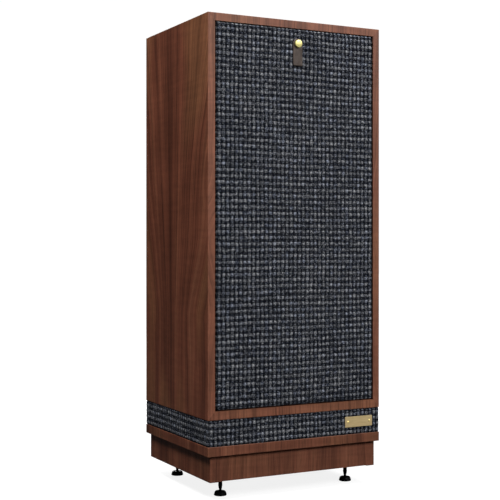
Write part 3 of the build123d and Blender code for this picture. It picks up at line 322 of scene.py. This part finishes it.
def tweed(name):
    """Slubby tweed in plain weave; the mesh attribute `weave` counts the repeats along and up the cloth."""
    g = Graph(name)
    u, v, _ = g.parts(g.add("Attribute", attribute_name="weave").outputs["Vector"])
    u = g.math("MULTIPLY_ADD", g.noise(g.vector(u, v, 21), 3.1, 2), YARN_RAGGED, u)
    v = g.math("MULTIPLY_ADD", g.noise(g.vector(u, v, 27), 3.1, 2), YARN_RAGGED, v)
    u = g.math("SUBTRACT", u, YARN_RAGGED / 2)
    v = g.math("SUBTRACT", v, YARN_RAGGED / 2)
    broad_u, round_u = yarn(g, u, BROAD_X)
    broad_v, round_v = yarn(g, v, BROAD_Z)
    crown = g.math("POWER", g.math("MULTIPLY", round_u, round_v), 0.5)

    # Paleness: a tone for each kind of crossing, a random part for each crossing, then flecks and clumps
    upright_broad = g.choose(broad_v, 0.27, 0.63)
    # Where two narrow yarns cross lowest the tone is darkest: the dark yarn's own colour, deepened by
    # painted shade in the pits
    upright_narrow = g.choose(broad_v, -0.3, 0.26)
    pale = g.choose(broad_u, upright_narrow, upright_broad)
    cell_u = g.math("MULTIPLY_ADD", g.math("FLOOR", u), 2, broad_u)
    cell_v = g.math("MULTIPLY_ADD", g.math("FLOOR", v), 2, broad_v)
    pale = g.shift(pale, g.random(cell_u, cell_v, 1), 0, 1, -0.14, 0.15)
    fleck_u = g.math("FLOOR", g.math("MULTIPLY", u, 3))
    fleck_v = g.math("FLOOR", g.math("MULTIPLY", v, 4))
    pale = g.shift(pale, g.random(fleck_u, fleck_v, 7), 0, 1, -0.13, 0.14)
    clumps = g.noise(g.vector(g.math("MULTIPLY", u, 0.8), v, 3), 3.6, 2, 0.8)
    pale = g.shift(pale, clumps, 0.32, 0.68, -0.42, 0.42)

    # Twisted fibres run along whichever yarn lies on top
    level_on_top = g.math("COMPARE", broad_u, broad_v, 0.5)
    fibre_u = g.math("MULTIPLY", u, g.choose(level_on_top, 16, 3.5))
    fibre_v = g.math("MULTIPLY", v, g.choose(level_on_top, 3.5, 18))
    twist_u = g.math("MULTIPLY", v, g.choose(level_on_top, 7, 0))
    twist_v = g.math("MULTIPLY", u, g.choose(level_on_top, 0, 7))
    strand_u = g.math("ADD", fibre_u, twist_u)
    strand_v = g.math("ADD", fibre_v, twist_v)
    fibres = g.noise(g.vector(strand_u, strand_v, g.math("MULTIPLY", level_on_top, 9)), 1, 3, 0.7)
    pale = g.shift(pale, fibres, 0.35, 0.65, -0.27, 0.29)
    patches = g.noise(g.vector(u, v, 5), 0.14, 3)
    pale = g.shift(pale, patches, *NOISE_SPAN, -0.04, 0.03)

    colour = g.ramp(pale, (0.0, YARN_BLACK), (0.34, YARN_SLATE), (0.7, YARN_GREY), (1.0, YARN_PALE))
    tint = g.random(cell_u, cell_v, 2)
    colour = g.blend(g.remap(tint, 0.5, 1.0, 0, 0.8), colour, YARN_BLUE_TINT, "MULTIPLY")
    # The yarns darken towards their edges and the crevices between them: painted shade, on top of the mesh's
    # real relief
    g.set(Base_Color=g.shaded(colour, g.remap(crown, 0.1, 0.8, 0.16, 1.15)))
    g.set(Roughness=0.95, Specular_IOR_Level=0.03)
    height = g.math("MULTIPLY_ADD", fibres, 0.6, g.math("MULTIPLY", crown, 0.6))
    return g.bump(height, 0.0009, 0.8)


def leather(name, colour, edge):
    """Waxed leather: fine pebbled grain, with rubbed, paler high spots."""
    g = Graph(name)
    place = g.position()
    pebble = g.add("TexVoronoi", {"Vector": place, "Scale": 900.0}, feature="SMOOTH_F1").outputs["Distance"]
    mottled = g.noise(place, 160, 3)
    rubbed = g.remap(g.noise(place, 45, 3), 0.45, 0.7)
    pale = tuple(c * 1.5 for c in colour)
    g.set(Base_Color=g.blend(rubbed, g.blend(mottled, colour, edge), pale))
    g.set(Roughness=g.remap(mottled, *NOISE_SPAN, 0.55, 0.75), Specular_IOR_Level=0.25)
    return g.bump(g.math("MULTIPLY_ADD", mottled, 0.6, pebble), 0.0003, 0.7)


def finish(name, colour, worn, rough, metal=0.0, scale=60, stretch=(1, 1, 1), relief=0.00008):
    """A worked surface: two tones, uneven roughness and fine relief, stretched along a brushed direction."""
    g = Graph(name)
    place = g.stretch(g.position(), stretch)
    fine = g.noise(place, scale * 12, 3, 0.6)
    cloud = g.noise(place, scale, 3)
    g.set(Base_Color=g.blend(g.remap(cloud, 0.35, 0.7), colour, worn), Metallic=metal)
    g.set(Roughness=g.remap(g.math("MULTIPLY_ADD", cloud, 0.5, fine), 0.5, 1.0, *rough))
    return g.bump(fine, relief, 0.6)


def wound(name, colour, worn, rough, scale, metal=0.0):
    """A surface with fine rings of wire, cord or pressed ribs round the driver's axis."""
    g = Graph(name)
    _, y, _ = g.parts(g.position())
    bands = g.math("SINE", g.math("MULTIPLY", y, scale))
    patches = g.noise(g.position(), 90, 3)
    tone = g.remap(g.math("MULTIPLY_ADD", patches, 1.5, bands), -0.5, 2.2)
    g.set(Base_Color=g.blend(tone, colour, worn), Metallic=metal)
    g.set(Roughness=g.remap(patches, *NOISE_SPAN, *rough))
    return g.bump(bands, 0.0002, 0.6)


def pressed_paper(name):
    """Black pulp with long fibres and shallow concentric ribs."""
    g = Graph(name)
    x, _, z = g.parts(g.position())
    centre_x, centre_z = driver_centre()
    radius = g.length(g.vector(g.math("SUBTRACT", x, centre_x), 0.0, g.math("SUBTRACT", z, centre_z)))
    ribs = g.math("POWER", g.math("ABSOLUTE", g.math("SINE", g.math("MULTIPLY", radius, 330))), 8)
    fibres = g.noise(g.stretch(g.position(), (1, 1, 2.5)), 700, 4, 0.7)
    mottled = g.noise(g.position(), 55, 3)
    colour = g.blend(g.remap(fibres, 0.4, 0.75), PULP_DARK, PULP_FIBRE)
    g.set(Base_Color=g.blend(g.remap(mottled, 0.4, 0.7), colour, PULP_DUST))
    g.set(Roughness=g.remap(fibres, *NOISE_SPAN, 0.72, 0.95), Specular_IOR_Level=0.25)
    return g.bump(g.math("MULTIPLY_ADD", ribs, 1.5, fibres), 0.0004, 0.7)


# Meshes


def piece(name, vertices, faces, material, body=None):
    """A smooth-shaded mesh object with one material, riding on a body if one is given."""
    mesh = bpy.data.meshes.new(name)
    mesh.from_pydata([tuple(v) for v in vertices], [], faces)
    mesh.update()
    mesh.polygons.foreach_set("use_smooth", [True] * len(mesh.polygons))
    mesh.materials.append(material)
    obj = bpy.data.objects.new(name, mesh)
    bpy.context.scene.collection.objects.link(obj)
    if body:
        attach(obj, body)
    return obj


def grid_faces(rows, columns, closed=False):
    """Quads over a grid whose points run along the columns first.

    `closed` joins the last column to the first.
    """
    faces = []
    for r in range(rows - 1):
        here, above = r * columns, (r + 1) * columns
        for c in range(columns if closed else columns - 1):
            n = (c + 1) % columns
            faces.append((here + c, here + n, above + n, above + c))
    return faces


def tube_faces(rows, columns):
    """Quads round a closed grid, with a flat face over each end."""
    first, last = range(columns), range((rows - 1) * columns, rows * columns)
    return grid_faces(rows, columns, True) + [tuple(first)[::-1], tuple(last)]


def weave_relief(u, v):
    """Height of the yarn above the cloth's base, 0 to 1, at u, v counted in repeats of the weave."""
    in_u, in_v = np.abs(u % 1 - 0.5), np.abs(v % 1 - 0.5)
    broad_u, broad_v = in_u < BROAD_X, in_v < BROAD_Z
    edge_u = np.where(broad_u, in_u / BROAD_X, (0.5 - in_u) / (0.5 - BROAD_X))
    edge_v = np.where(broad_v, in_v / BROAD_Z, (0.5 - in_v) / (0.5 - BROAD_Z))
    crown = np.sqrt(np.abs(np.cos(edge_u * math.pi / 2) * np.cos(edge_v * math.pi / 2)))
    # Two broad yarns cross highest and two narrow ones lowest
    top = np.where(broad_v, np.where(broad_u, 0.9, 0.65), np.where(broad_u, 0.5, 0.3))
    slub = np.sin(u * 3.4 + 2 * np.sin(v * 0.62)) * np.sin(v * 2.6 + 2 * np.sin(u * 0.46))
    return crown * (top + 0.1 * slub)


def wandering(u, v):
    """The same coordinates with the yarns' slow wander added."""
    return (
        u + 0.06 * np.sin(v * 0.37 + 1.3 * np.sin(u * 0.21)) + 0.035 * np.sin(v * 2.3 + u),
        v + 0.05 * np.sin(u * 0.23 + 1.7 * np.sin(v * 0.19)) + 0.025 * np.sin(u * 2.9 - v),
    )


def store_weave(obj, u, v):
    attribute = obj.data.attributes.new("weave", "FLOAT_VECTOR", "POINT")
    repeats = np.stack([u, v, np.zeros_like(u)], -1)
    attribute.data.foreach_set("vector", repeats.astype(np.float32).ravel())


def grille_cloth(material):
    """Cloth stretched over the grille frame, rounded over its edges and drawn back behind them."""
    low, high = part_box("grille_cloth")
    half = np.array([(high.x - low.x) / 2, (high.z - low.z) / 2])
    centre = np.array([(high.x + low.x) / 2, (high.z + low.z) / 2])
    arc = GRILLE_ROUND * math.pi / 2
    side = high.y - low.y - GRILLE_ROUND - GRILLE_BACK_GAP
    reach = half - GRILLE_ROUND + arc + side
    steps = np.round(reach / (REPEAT_X, REPEAT_Z) * POINTS_PER_REPEAT).astype(int)
    columns, rows = 2 * steps + 1
    a, b = np.meshgrid(np.linspace(-1, 1, columns), np.linspace(-1, 1, rows))

    # The cloth laid flat, and how far each point lies past the flat of the front
    flat = np.stack([a.ravel() * reach[0], b.ravel() * reach[1]], -1)
    past = np.maximum(np.abs(flat) - (half - GRILLE_ROUND), 0)
    distance = np.linalg.norm(past, axis=1)
    towards = past / np.maximum(distance, 1e-9)[:, None] * np.sign(flat)
    distance_kept = np.minimum(distance, arc + side)
    angle = np.minimum(distance_kept / GRILLE_ROUND, math.pi / 2)
    outward = GRILLE_ROUND * np.sin(angle)
    depth = GRILLE_ROUND * (1 - np.cos(angle)) + np.maximum(distance_kept - arc, 0)
    core = np.sign(flat) * np.minimum(np.abs(flat), half - GRILLE_ROUND)

    u, v = wandering(flat[:, 0] / REPEAT_X, flat[:, 1] / REPEAT_Z)
    # The relief fades as the cloth goes back, and only its highest quarter stands past the flat
    fading = np.clip(1.2 - depth / side, 0.2, 1)
    raise_by = weave_relief(u, v) * YARN_RELIEF * fading - YARN_RELIEF * 0.75
    spot = centre + core + towards * (outward + np.sin(angle) * raise_by)[:, None]
    y = low.y + depth - np.cos(angle) * raise_by
    points = np.stack([spot[:, 0], y, spot[:, 1]], -1)
    kept = distance < arc + side + REPEAT_Z / POINTS_PER_REPEAT
    faces = [f for f in grid_faces(rows, columns) if any(kept[i] for i in f)]
    obj = piece("grille_tweed", points, faces, material, "grille")
    store_weave(obj, u, v)
    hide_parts("grille_cloth")


def band_outline(low, high):
    """Points round a box's four sides and rounded corners, with the direction that each one faces."""
    straight = np.array([high.x - low.x, high.y - low.y]) - 2 * BAND_ROUND
    arc = BAND_ROUND * math.pi / 2
    around = 2 * straight.sum() + 4 * arc
    columns = POINTS_PER_REPEAT * int(round(around / REPEAT_X))
    s = np.arange(columns) * around / columns
    corner = np.array([[low.x, low.y], [high.x, low.y], [high.x, high.y], [low.x, high.y]])
    inward = np.array([[1, 1], [-1, 1], [-1, -1], [1, -1]]) * BAND_ROUND
    base, outward = np.zeros((columns, 2)), np.zeros((columns, 2))
    start = 0.0
    for k in range(4):
        length = straight[k % 2]
        heading = (k - 1) * math.pi / 2
        normal = np.array([math.cos(heading), math.sin(heading)])
        run = np.array([-normal[1], normal[0]])
        on_side = (s >= start) & (s < start + length)
        along = (s[on_side] - start)[:, None]
        base[on_side] = corner[k] + inward[k] + run * along + normal * BAND_ROUND
        outward[on_side] = normal
        start += length
        on_arc = (s >= start) & (s < start + arc)
        turn = heading + (s[on_arc] - start) / BAND_ROUND
        round_corner = np.stack([np.cos(turn), np.sin(turn)], -1)
        ahead = (k + 1) % 4
        base[on_arc] = corner[ahead] + inward[ahead] + round_corner * BAND_ROUND
        outward[on_arc] = round_corner
        start += arc
    return base, outward


def band_cloth(material):
    """The cloth sleeve round the port's slatted frame, its rims tucked in."""
    low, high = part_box("band_cloth")
    base, outward = band_outline(low, high)
    columns = len(base)
    rows = int(round((high.z - low.z) / REPEAT_Z * POINTS_PER_REPEAT)) + 1
    z = np.linspace(low.z, high.z, rows)
    u, v = np.meshgrid(np.arange(columns) / POINTS_PER_REPEAT, (z - low.z) / REPEAT_Z)
    u, v = wandering(u, v)
    from_rim = np.clip(np.minimum(z - low.z, high.z - z) / TUCK_HEIGHT, 0, 1)[:, None]
    offset = weave_relief(u, v) * YARN_RELIEF - BAND_SINK - (1 - from_rim) * TUCK_DEPTH
    spot = base[None] + outward[None] * offset[..., None]
    points = np.concatenate([spot, np.broadcast_to(z[:, None, None], (rows, columns, 1))], -1)
    obj = piece("band_tweed", points.reshape(-1, 3), grid_faces(rows, columns, True), material, "cabinet")
    store_weave(obj, u.ravel(), v.ravel())
    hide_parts("band_cloth")


def pull_tab(material):
    """A leather strip with rounded edges, clamped under the stud."""
    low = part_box("pull_tab")[0]
    root_low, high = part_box("pull_tab_root")
    half_width, thickness = (high.x - low.x) / 2, high.y - low.y
    middle = (low.y + high.y) / 2
    stud_z = high.z - half_width

    # Heights close together at the foot, even up to the stud, then round the top
    foot = np.linspace(0, 0.004, 6)[:-1]
    strip = np.linspace(0.004, stud_z - low.z, 44)
    over_top = stud_z - low.z + half_width * np.sin(np.linspace(0, math.pi / 2, 13))[1:]
    z = low.z + np.concatenate([foot, strip, over_top])
    above = np.maximum(z - stud_z, 0)
    below = np.maximum(TAB_CORNER - (z - low.z), 0)
    width = np.sqrt(np.maximum(half_width**2 - above**2, 1e-8))
    width -= TAB_CORNER - np.sqrt(np.maximum(TAB_CORNER**2 - below**2, 0))

    angle = np.arange(POINTS_AROUND) * 2 * math.pi / POINTS_AROUND
    rounded_x = np.sign(np.cos(angle)) * np.abs(np.cos(angle)) ** TAB_SQUARENESS
    rounded_y = np.sign(np.sin(angle)) * np.abs(np.sin(angle)) ** TAB_SQUARENESS
    points = []
    for half, height in zip(width, z):
        from_end = min(height - low.z, z[-1] - height)
        taper = min(1.0, TAB_END_THICKNESS + from_end / TAB_TAPER)
        sink = TAB_SINK * math.sin(min(1.0, (height - low.z) / TAB_SINK_HEIGHT) * math.pi)
        for x, y in zip(rounded_x * half, rounded_y * thickness / 2 * taper * 0.94):
            from_middle = abs(x) / half_width
            dish = TAB_DISH * (1 - from_middle**2)
            points.append((x, middle + y * (1 - 0.1 * from_middle) + dish + sink, height))
    obj = piece("leather_pull_tab", points, tube_faces(len(z), POINTS_AROUND), material)
    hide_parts("pull_tab", "pull_tab_root")
    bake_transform(obj)


def foot_spike(corner, material):
    """A spike with a rolled thread down to its plain conical point."""
    node = "foot_spike_" + corner
    low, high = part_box(node)
    centre_x, centre_y = (low.x + high.x) / 2, (low.y + high.y) / 2
    radius = (high.x - low.x) / 2
    point_end, cone_end = low.z + POINT_HEIGHT, low.z + CONE_HEIGHT
    plain_end = cone_end + PLAIN_COLLAR
    turns = np.arange(plain_end, high.z, THREAD_PITCH / 8)
    z = np.concatenate([[low.z], np.linspace(point_end, plain_end, 8)[:-1], turns, [high.z]])
    angle = np.arange(POINTS_AROUND) * 2 * math.pi / POINTS_AROUND
    points = []
    for height in z:
        body = np.interp(height, (low.z, point_end, cone_end), (TIP_RADIUS, POINT_RADIUS, radius))
        run_out = min(1.0, max(0.0, (height - plain_end) / RUN_OUT))
        lead_in = min(1.0, (high.z - height) / LEAD_IN + 0.3)
        phase = (height / THREAD_PITCH - angle / (2 * math.pi)) % 1
        groove = THREAD_DEPTH * (1 - np.abs(2 * phase - 1)) * (run_out * lead_in)
        for r, t in zip(body - groove, angle):
            points.append((centre_x + r * math.cos(t), centre_y + r * math.sin(t), height))
    faces = tube_faces(len(z), POINTS_AROUND)
    obj = piece("threaded_spike_" + corner, points, faces, material, "spike_" + corner)
    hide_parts(node)


def driver_centre():
    """Where the driver's axis crosses the front, as x and z."""
    low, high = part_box("driver_basket")
    return (low.x + high.x) / 2, (low.z + high.z) / 2


def lathe(name, profile, material, node, segments=128):
    """A thin ring turned about the driver's axis from points of (radius, y).
    """
    centre_x, centre_z = driver_centre()
    angle = np.arange(segments) * 2 * math.pi / segments
    points = []
    for r, y in profile:
        points += [(centre_x + r * math.cos(t), y, centre_z + r * math.sin(t)) for t in angle]
    obj = piece(name, points, grid_faces(len(profile), segments, True), material)
    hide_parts(node)
    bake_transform(obj)


def rubber_surround(rubber):
    """The cone's rubber half-roll, with two faces joined at the rims."""
    low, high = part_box("woofer_surround")
    outer = (high.x - low.x) / 2
    inner = outer - SURROUND_WIDTH
    roll_outer, roll_inner = outer - RIM_WIDTH, inner + RIM_WIDTH
    front = high.y - RUBBER_FRONT
    crest = (roll_outer - roll_inner) / 2
    middle = (roll_outer + roll_inner) / 2
    roll = [(middle + crest * math.cos(t), front - crest * math.sin(t)) for t in np.linspace(0, math.pi, 19)]
    top = [(outer, front), (roll_outer + 0.0005, front), *roll, (roll_inner - 0.0005, front), (inner, front)]
    back = [(r, y + RUBBER_THICKNESS) for r, y in reversed(top)]
    lathe("rubber_surround", top + back + top[:1], rubber, "woofer_surround")


def corrugated_spider(resin):
    """The coil's corrugated centring disc, with two faces joined at the rims."""
    low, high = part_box("woofer_spider")
    coil_low, coil_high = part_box("woofer_voice_coil")
    outer = (high.x - low.x) / 2
    inner = (coil_high.x - coil_low.x) / 2 - 0.0011
    middle, swing = (low.y + high.y) / 2, (high.y - low.y) / 2 - 0.0004
    turn = 2 * math.pi * SPIDER_WAVES / (outer - inner)
    waves = [(r, middle - swing * math.cos(turn * (r - inner))) for r in np.linspace(outer, inner, 61)]
    back = [(r, y + SPIDER_THICKNESS) for r, y in reversed(waves)]
    lathe("corrugated_spider", waves + back + waves[:1], resin, "woofer_spider")


# Finishes


def plated(name, colour, worn, rough, scale):
    return finish(name, colour, worn, rough, metal=1.0, scale=scale)


def brushed(name, colour, worn, rough, metal, scale=40):
    """A metal plate brushed along x."""
    return finish(name, colour, worn, rough, metal, scale, stretch=(1, 25, 25))


def wood_finishes():
    # `front` is the share of painted light that lightens the faces turned to the front or back
    side = dict(fan=True)
    plinth = dict(tone=0.88, front=0.3, line_depth=0.75)
    raw_grain = dict(scale=20, stretch=(1, 1, 0.2), relief=0.0003)
    stained_grain = dict(scale=20, stretch=(1, 1, 0.15))
    raw = finish("raw_board", (0.36, 0.25, 0.15), (0.26, 0.17, 0.1), (0.75, 0.9), **raw_grain)
    stain, stain_pale = (0.018, 0.017, 0.017), (0.035, 0.032, 0.03)
    stained = finish("stained_board", stain, stain_pale, (0.6, 0.8), **stained_grain)
    return {
        "left_side_panel": walnut("walnut_side", 1.7, **side),
        "right_side_panel": walnut("walnut_side_right", 5.2, **side),
        "top_panel": walnut("walnut_top", 9.1, front=0.5),
        "bottom_panel": walnut("walnut_bottom", 12.4),
        "rear_panel": walnut("walnut_rear", 17.9, **side),
        "base_board": walnut("walnut_base", 21.3, **plinth),
        "plinth_rails": walnut("walnut_plinth", 26.8, **plinth),
        "cabinet_braces": raw,
        "corner_posts": stained,
        "plinth_corner_blocks": stained,
        "grille_frame": stained,
        "band_frame": stained,
    }


def trim_finishes():
    """Baffle, port, grille fittings, badge, plinth fittings and screws."""
    plastic = finish("moulded_plastic", BLACK, COAL, (0.5, 0.68), scale=45, relief=0.0002)
    brass = plated("machined_brass", BRASS, BRASS_DARK, (0.2, 0.38), 70)
    nickel = plated("nickel_plate", (0.62, 0.6, 0.57), (0.5, 0.48, 0.45), (0.12, 0.3), 90)
    oxide = finish("black_oxide", BLACK, COAL, (0.3, 0.5), metal=0.8, scale=90)
    felt = finish("felt", (0.17, 0.17, 0.18), (0.26, 0.26, 0.27), (0.9, 1.0), scale=120, relief=0.001)
    lacquer = finish("baffle_lacquer", (0.014, 0.014, 0.015), (0.022, 0.022, 0.023), (0.38, 0.52), scale=30)
    badge_light, badge_deep = (0.68, 0.52, 0.27), (0.54, 0.4, 0.19)
    pin_light, pin_deep = (0.95, 0.78, 0.32), (0.85, 0.65, 0.22)
    stud_light, stud_deep = (0.54, 0.48, 0.17), (0.47, 0.4, 0.12)
    return {
        "front_baffle": lacquer,
        "damping_lining": felt,
        "port_tube": plastic,
        "port_diffuser": plastic,
        "level_switches": plastic,
        "badge_plate": brushed("brushed_badge", badge_light, badge_deep, (0.4, 0.55), 0.35, 60),
        "badge_pins": finish("pin_gold", pin_light, pin_deep, (0.25, 0.4), metal=0.5, scale=80),
        "tab_stud": finish("polished_stud", stud_light, stud_deep, (0.26, 0.38), metal=0.3, scale=90),
        "grille_magnets": nickel,
        "baffle_magnets": nickel,
        "foot_inserts": brass,
        "foot_lock_nuts": oxide,
        "screws_and_bolts": oxide,
        "treble_knob": brass,
        "presence_knob": brass,
    }


def driver_finishes():
    cast = finish("cast_black", COAL, BLACK, (0.42, 0.62), metal=0.3, scale=55, relief=0.0003)
    zinc = plated("zinc_plate", (0.5, 0.5, 0.5), (0.36, 0.36, 0.38), (0.25, 0.45), 50)
    copper, copper_pale = (0.45, 0.16, 0.07), (0.7, 0.34, 0.18)
    ferrite, ferrite_pale = (0.05, 0.05, 0.052), (0.08, 0.08, 0.08)
    return {
        "driver_basket": cast,
        "tweeter_cover": cast,
        "woofer_cone": pressed_paper("cone_pulp"),
        "woofer_voice_coil": wound("copper_winding", copper, copper_pale, (0.25, 0.4), 14000, metal=0.9),
        "woofer_steel": zinc,
        "woofer_magnet": finish("sintered_ferrite", ferrite, ferrite_pale, (0.6, 0.8), scale=60),
        "tweeter_horn": finish("horn_paint", BLACK, COAL, (0.34, 0.42), metal=0.1, scale=220),
        "tweeter_motor": zinc,
        "tweeter_diaphragm": plated("pressed_foil", (0.75, 0.75, 0.77), (0.6, 0.6, 0.63), (0.2, 0.35), 90),
    }


def electric_finishes():
    gold = plated("gold_plate", (0.83, 0.6, 0.22), (0.7, 0.48, 0.17), (0.14, 0.3), 80)
    wire, wire_pale = (0.4, 0.14, 0.05), (0.6, 0.3, 0.14)
    red, red_deep = (0.35, 0.012, 0.01), (0.25, 0.01, 0.008)
    green, green_pale = (0.01, 0.08, 0.03), (0.015, 0.11, 0.045)
    return {
        "terminal_plate": brushed("brushed_black_plate", COAL, BLACK, (0.3, 0.48), 0.9),
        "control_plate": brushed("brushed_control", BRASS, BRASS_DARK, (0.26, 0.42), 1.0),
        "post_studs": gold,
        "post_cap_left": gold,
        "post_cap_right": gold,
        "post_clamp_left": finish("black_marker", BLACK, COAL, (0.4, 0.55), scale=70),
        "post_clamp_right": finish("red_marker", red, red_deep, (0.35, 0.5), scale=70),
        "crossover_board": finish("solder_mask", green, green_pale, (0.3, 0.45), scale=80),
        "crossover_parts": wound("wire_and_cans", wire, wire_pale, (0.3, 0.5), 6000, metal=0.4),
        "internal_cables": wound("braided_sleeve", (0.03, 0.03, 0.035), (0.2, 0.05, 0.04), (0.5, 0.7), 3000),
    }


def paint(obj, material):
    obj.data.materials.clear()
    obj.data.materials.append(material)


for finishes in (wood_finishes(), trim_finishes(), driver_finishes(), electric_finishes()):
    for node, material in finishes.items():
        paint(nodes[node], material)

black_chrome = finish("black_chrome", (0.01, 0.01, 0.011), (0.02, 0.02, 0.021), (0.12, 0.24), 0.9, 90)
pad_gloss = finish("pad_gloss", (0.006, 0.006, 0.007), (0.014, 0.014, 0.015), (0.1, 0.2), 0.4, 60)
for corner in CORNERS:
    paint(nodes["foot_pad_" + corner], pad_gloss)
    foot_spike(corner, black_chrome)

cloth = tweed("tweed")
grille_cloth(cloth)
band_cloth(cloth)
pull_tab(leather("tab_leather", (0.075, 0.056, 0.047), (0.046, 0.033, 0.027)))
roll_dark, roll_pale = (0.012, 0.012, 0.012), (0.025, 0.024, 0.023)
rubber_surround(finish("roll_rubber", roll_dark, roll_pale, (0.5, 0.68), scale=30, relief=0.0002))
corrugated_spider(wound("resin_weave", (0.3, 0.17, 0.06), (0.42, 0.27, 0.1), (0.6, 0.8), 5000))


# Studio


def floor_material():
    """Nearly white to the camera, brighter far away, and dim to the light that falls on it."""
    g = Graph("pale_floor")
    seen = g.add("LightPath").outputs["Is Camera Ray"]
    glow = g.remap(g.length(g.position()), 0.7, 2.6, 0.86, 1.0)
    speckle = g.remap(g.noise(g.position(), 3, 2), 0, 1, 0.97, 1.0)
    tone = g.blend(seen, (0.05, 0.05, 0.05), (0.2, 0.2, 0.2))
    g.set(Base_Color=g.shaded(tone, speckle), Roughness=0.9, Specular_IOR_Level=0.0)
    g.set(Emission_Color=(1.0, 1.0, 1.0), Emission_Strength=g.math("MULTIPLY", seen, glow))
    return g.material


def studio_floor():
    """A pale floor that stays under the lowest foot."""
    half = 14.0
    points = [(-half, -half, 0), (half, -half, 0), (half, half, 0), (-half, half, 0)]
    floor = piece("floor", points, [(0, 1, 2, 3)], floor_material())
    lowest = floor.driver_add("location", 2).driver
    lowest.type = "MIN"
    for corner in CORNERS:
        height = lowest.variables.new()
        height.type = "TRANSFORMS"
        height.targets[0].id = frame["bodies"]["pad_" + corner]
        height.targets[0].transform_type = "LOC_Z"


def studio_world(overhead, horizon, seen_strength):
    """Light that comes mostly from overhead; the camera sees it as even white."""
    world = bpy.data.worlds.new("studio")
    bpy.context.scene.world = world
    world.use_nodes = True
    tree = world.node_tree
    background = tree.nodes["Background"]
    background.inputs["Color"].default_value = (1, 1, 1, 1)
    place = tree.nodes.new("ShaderNodeTexCoord")
    split = tree.nodes.new("ShaderNodeSeparateXYZ")
    height = tree.nodes.new("ShaderNodeMapRange")
    power = tree.nodes.new("ShaderNodeMapRange")
    path = tree.nodes.new("ShaderNodeLightPath")
    height.inputs["From Min"].default_value = 0.62
    height.inputs["From Max"].default_value = 0.95
    height.inputs["To Min"].default_value = horizon
    height.inputs["To Max"].default_value = overhead
    power.inputs["To Max"].default_value = seen_strength
    tree.links.new(place.outputs["Generated"], split.inputs[0])
    tree.links.new(split.outputs[2], height.inputs["Value"])
    tree.links.new(path.outputs["Is Camera Ray"], power.inputs["Value"])
    tree.links.new(height.outputs[0], power.inputs["To Min"])
    tree.links.new(power.outputs[0], background.inputs["Strength"])


def soft_light(name, place, target, size, power):
    """An area light of the given width, height and watts, turned towards a target."""
    data = bpy.data.lights.new(name, "AREA")
    data.shape = "RECTANGLE"
    data.size, data.size_y = size
    data.energy = power
    light = bpy.data.objects.new(name, data)
    bpy.context.scene.collection.objects.link(light)
    light.location = place
    x, y, z = np.array(target, float) - np.array(place, float)
    light.rotation_euler = (math.atan2(math.hypot(x, y), -z), 0, math.atan2(y, x) - math.pi / 2)


def studio_camera():
    data = bpy.data.cameras.new("camera")
    data.sensor_width = 36.0
    data.lens = 79.0
    data.shift_y = -0.0174
    camera = bpy.data.objects.new("camera", data)
    bpy.context.scene.collection.objects.link(camera)
    camera.location = (-1.276, -2.41, 0.587)
    camera.rotation_euler = (math.radians(90), 0, math.radians(-27.37))
    bpy.context.scene.camera = camera


studio_floor()
studio_world(overhead=1.1, horizon=0.02, seen_strength=1.02)
soft_light("key", (1.8, -3.5, 2.9), (0, 0, 0.6), (2.0, 1.8), 187)
soft_light("side", (-1.5, -0.45, 3.3), (0, 0, 0.7), (0.9, 0.9), 108)
soft_light("top", (0.2, 0.6, 3.8), (0, 0, 0.6), (2.0, 2.0), 30)
soft_light("rear", (1.0, 3.4, 2.2), (0, 0, 0.5), (2.0, 2.0), 120)
studio_camera()
bpy.context.scene.view_settings.view_transform = "Standard"
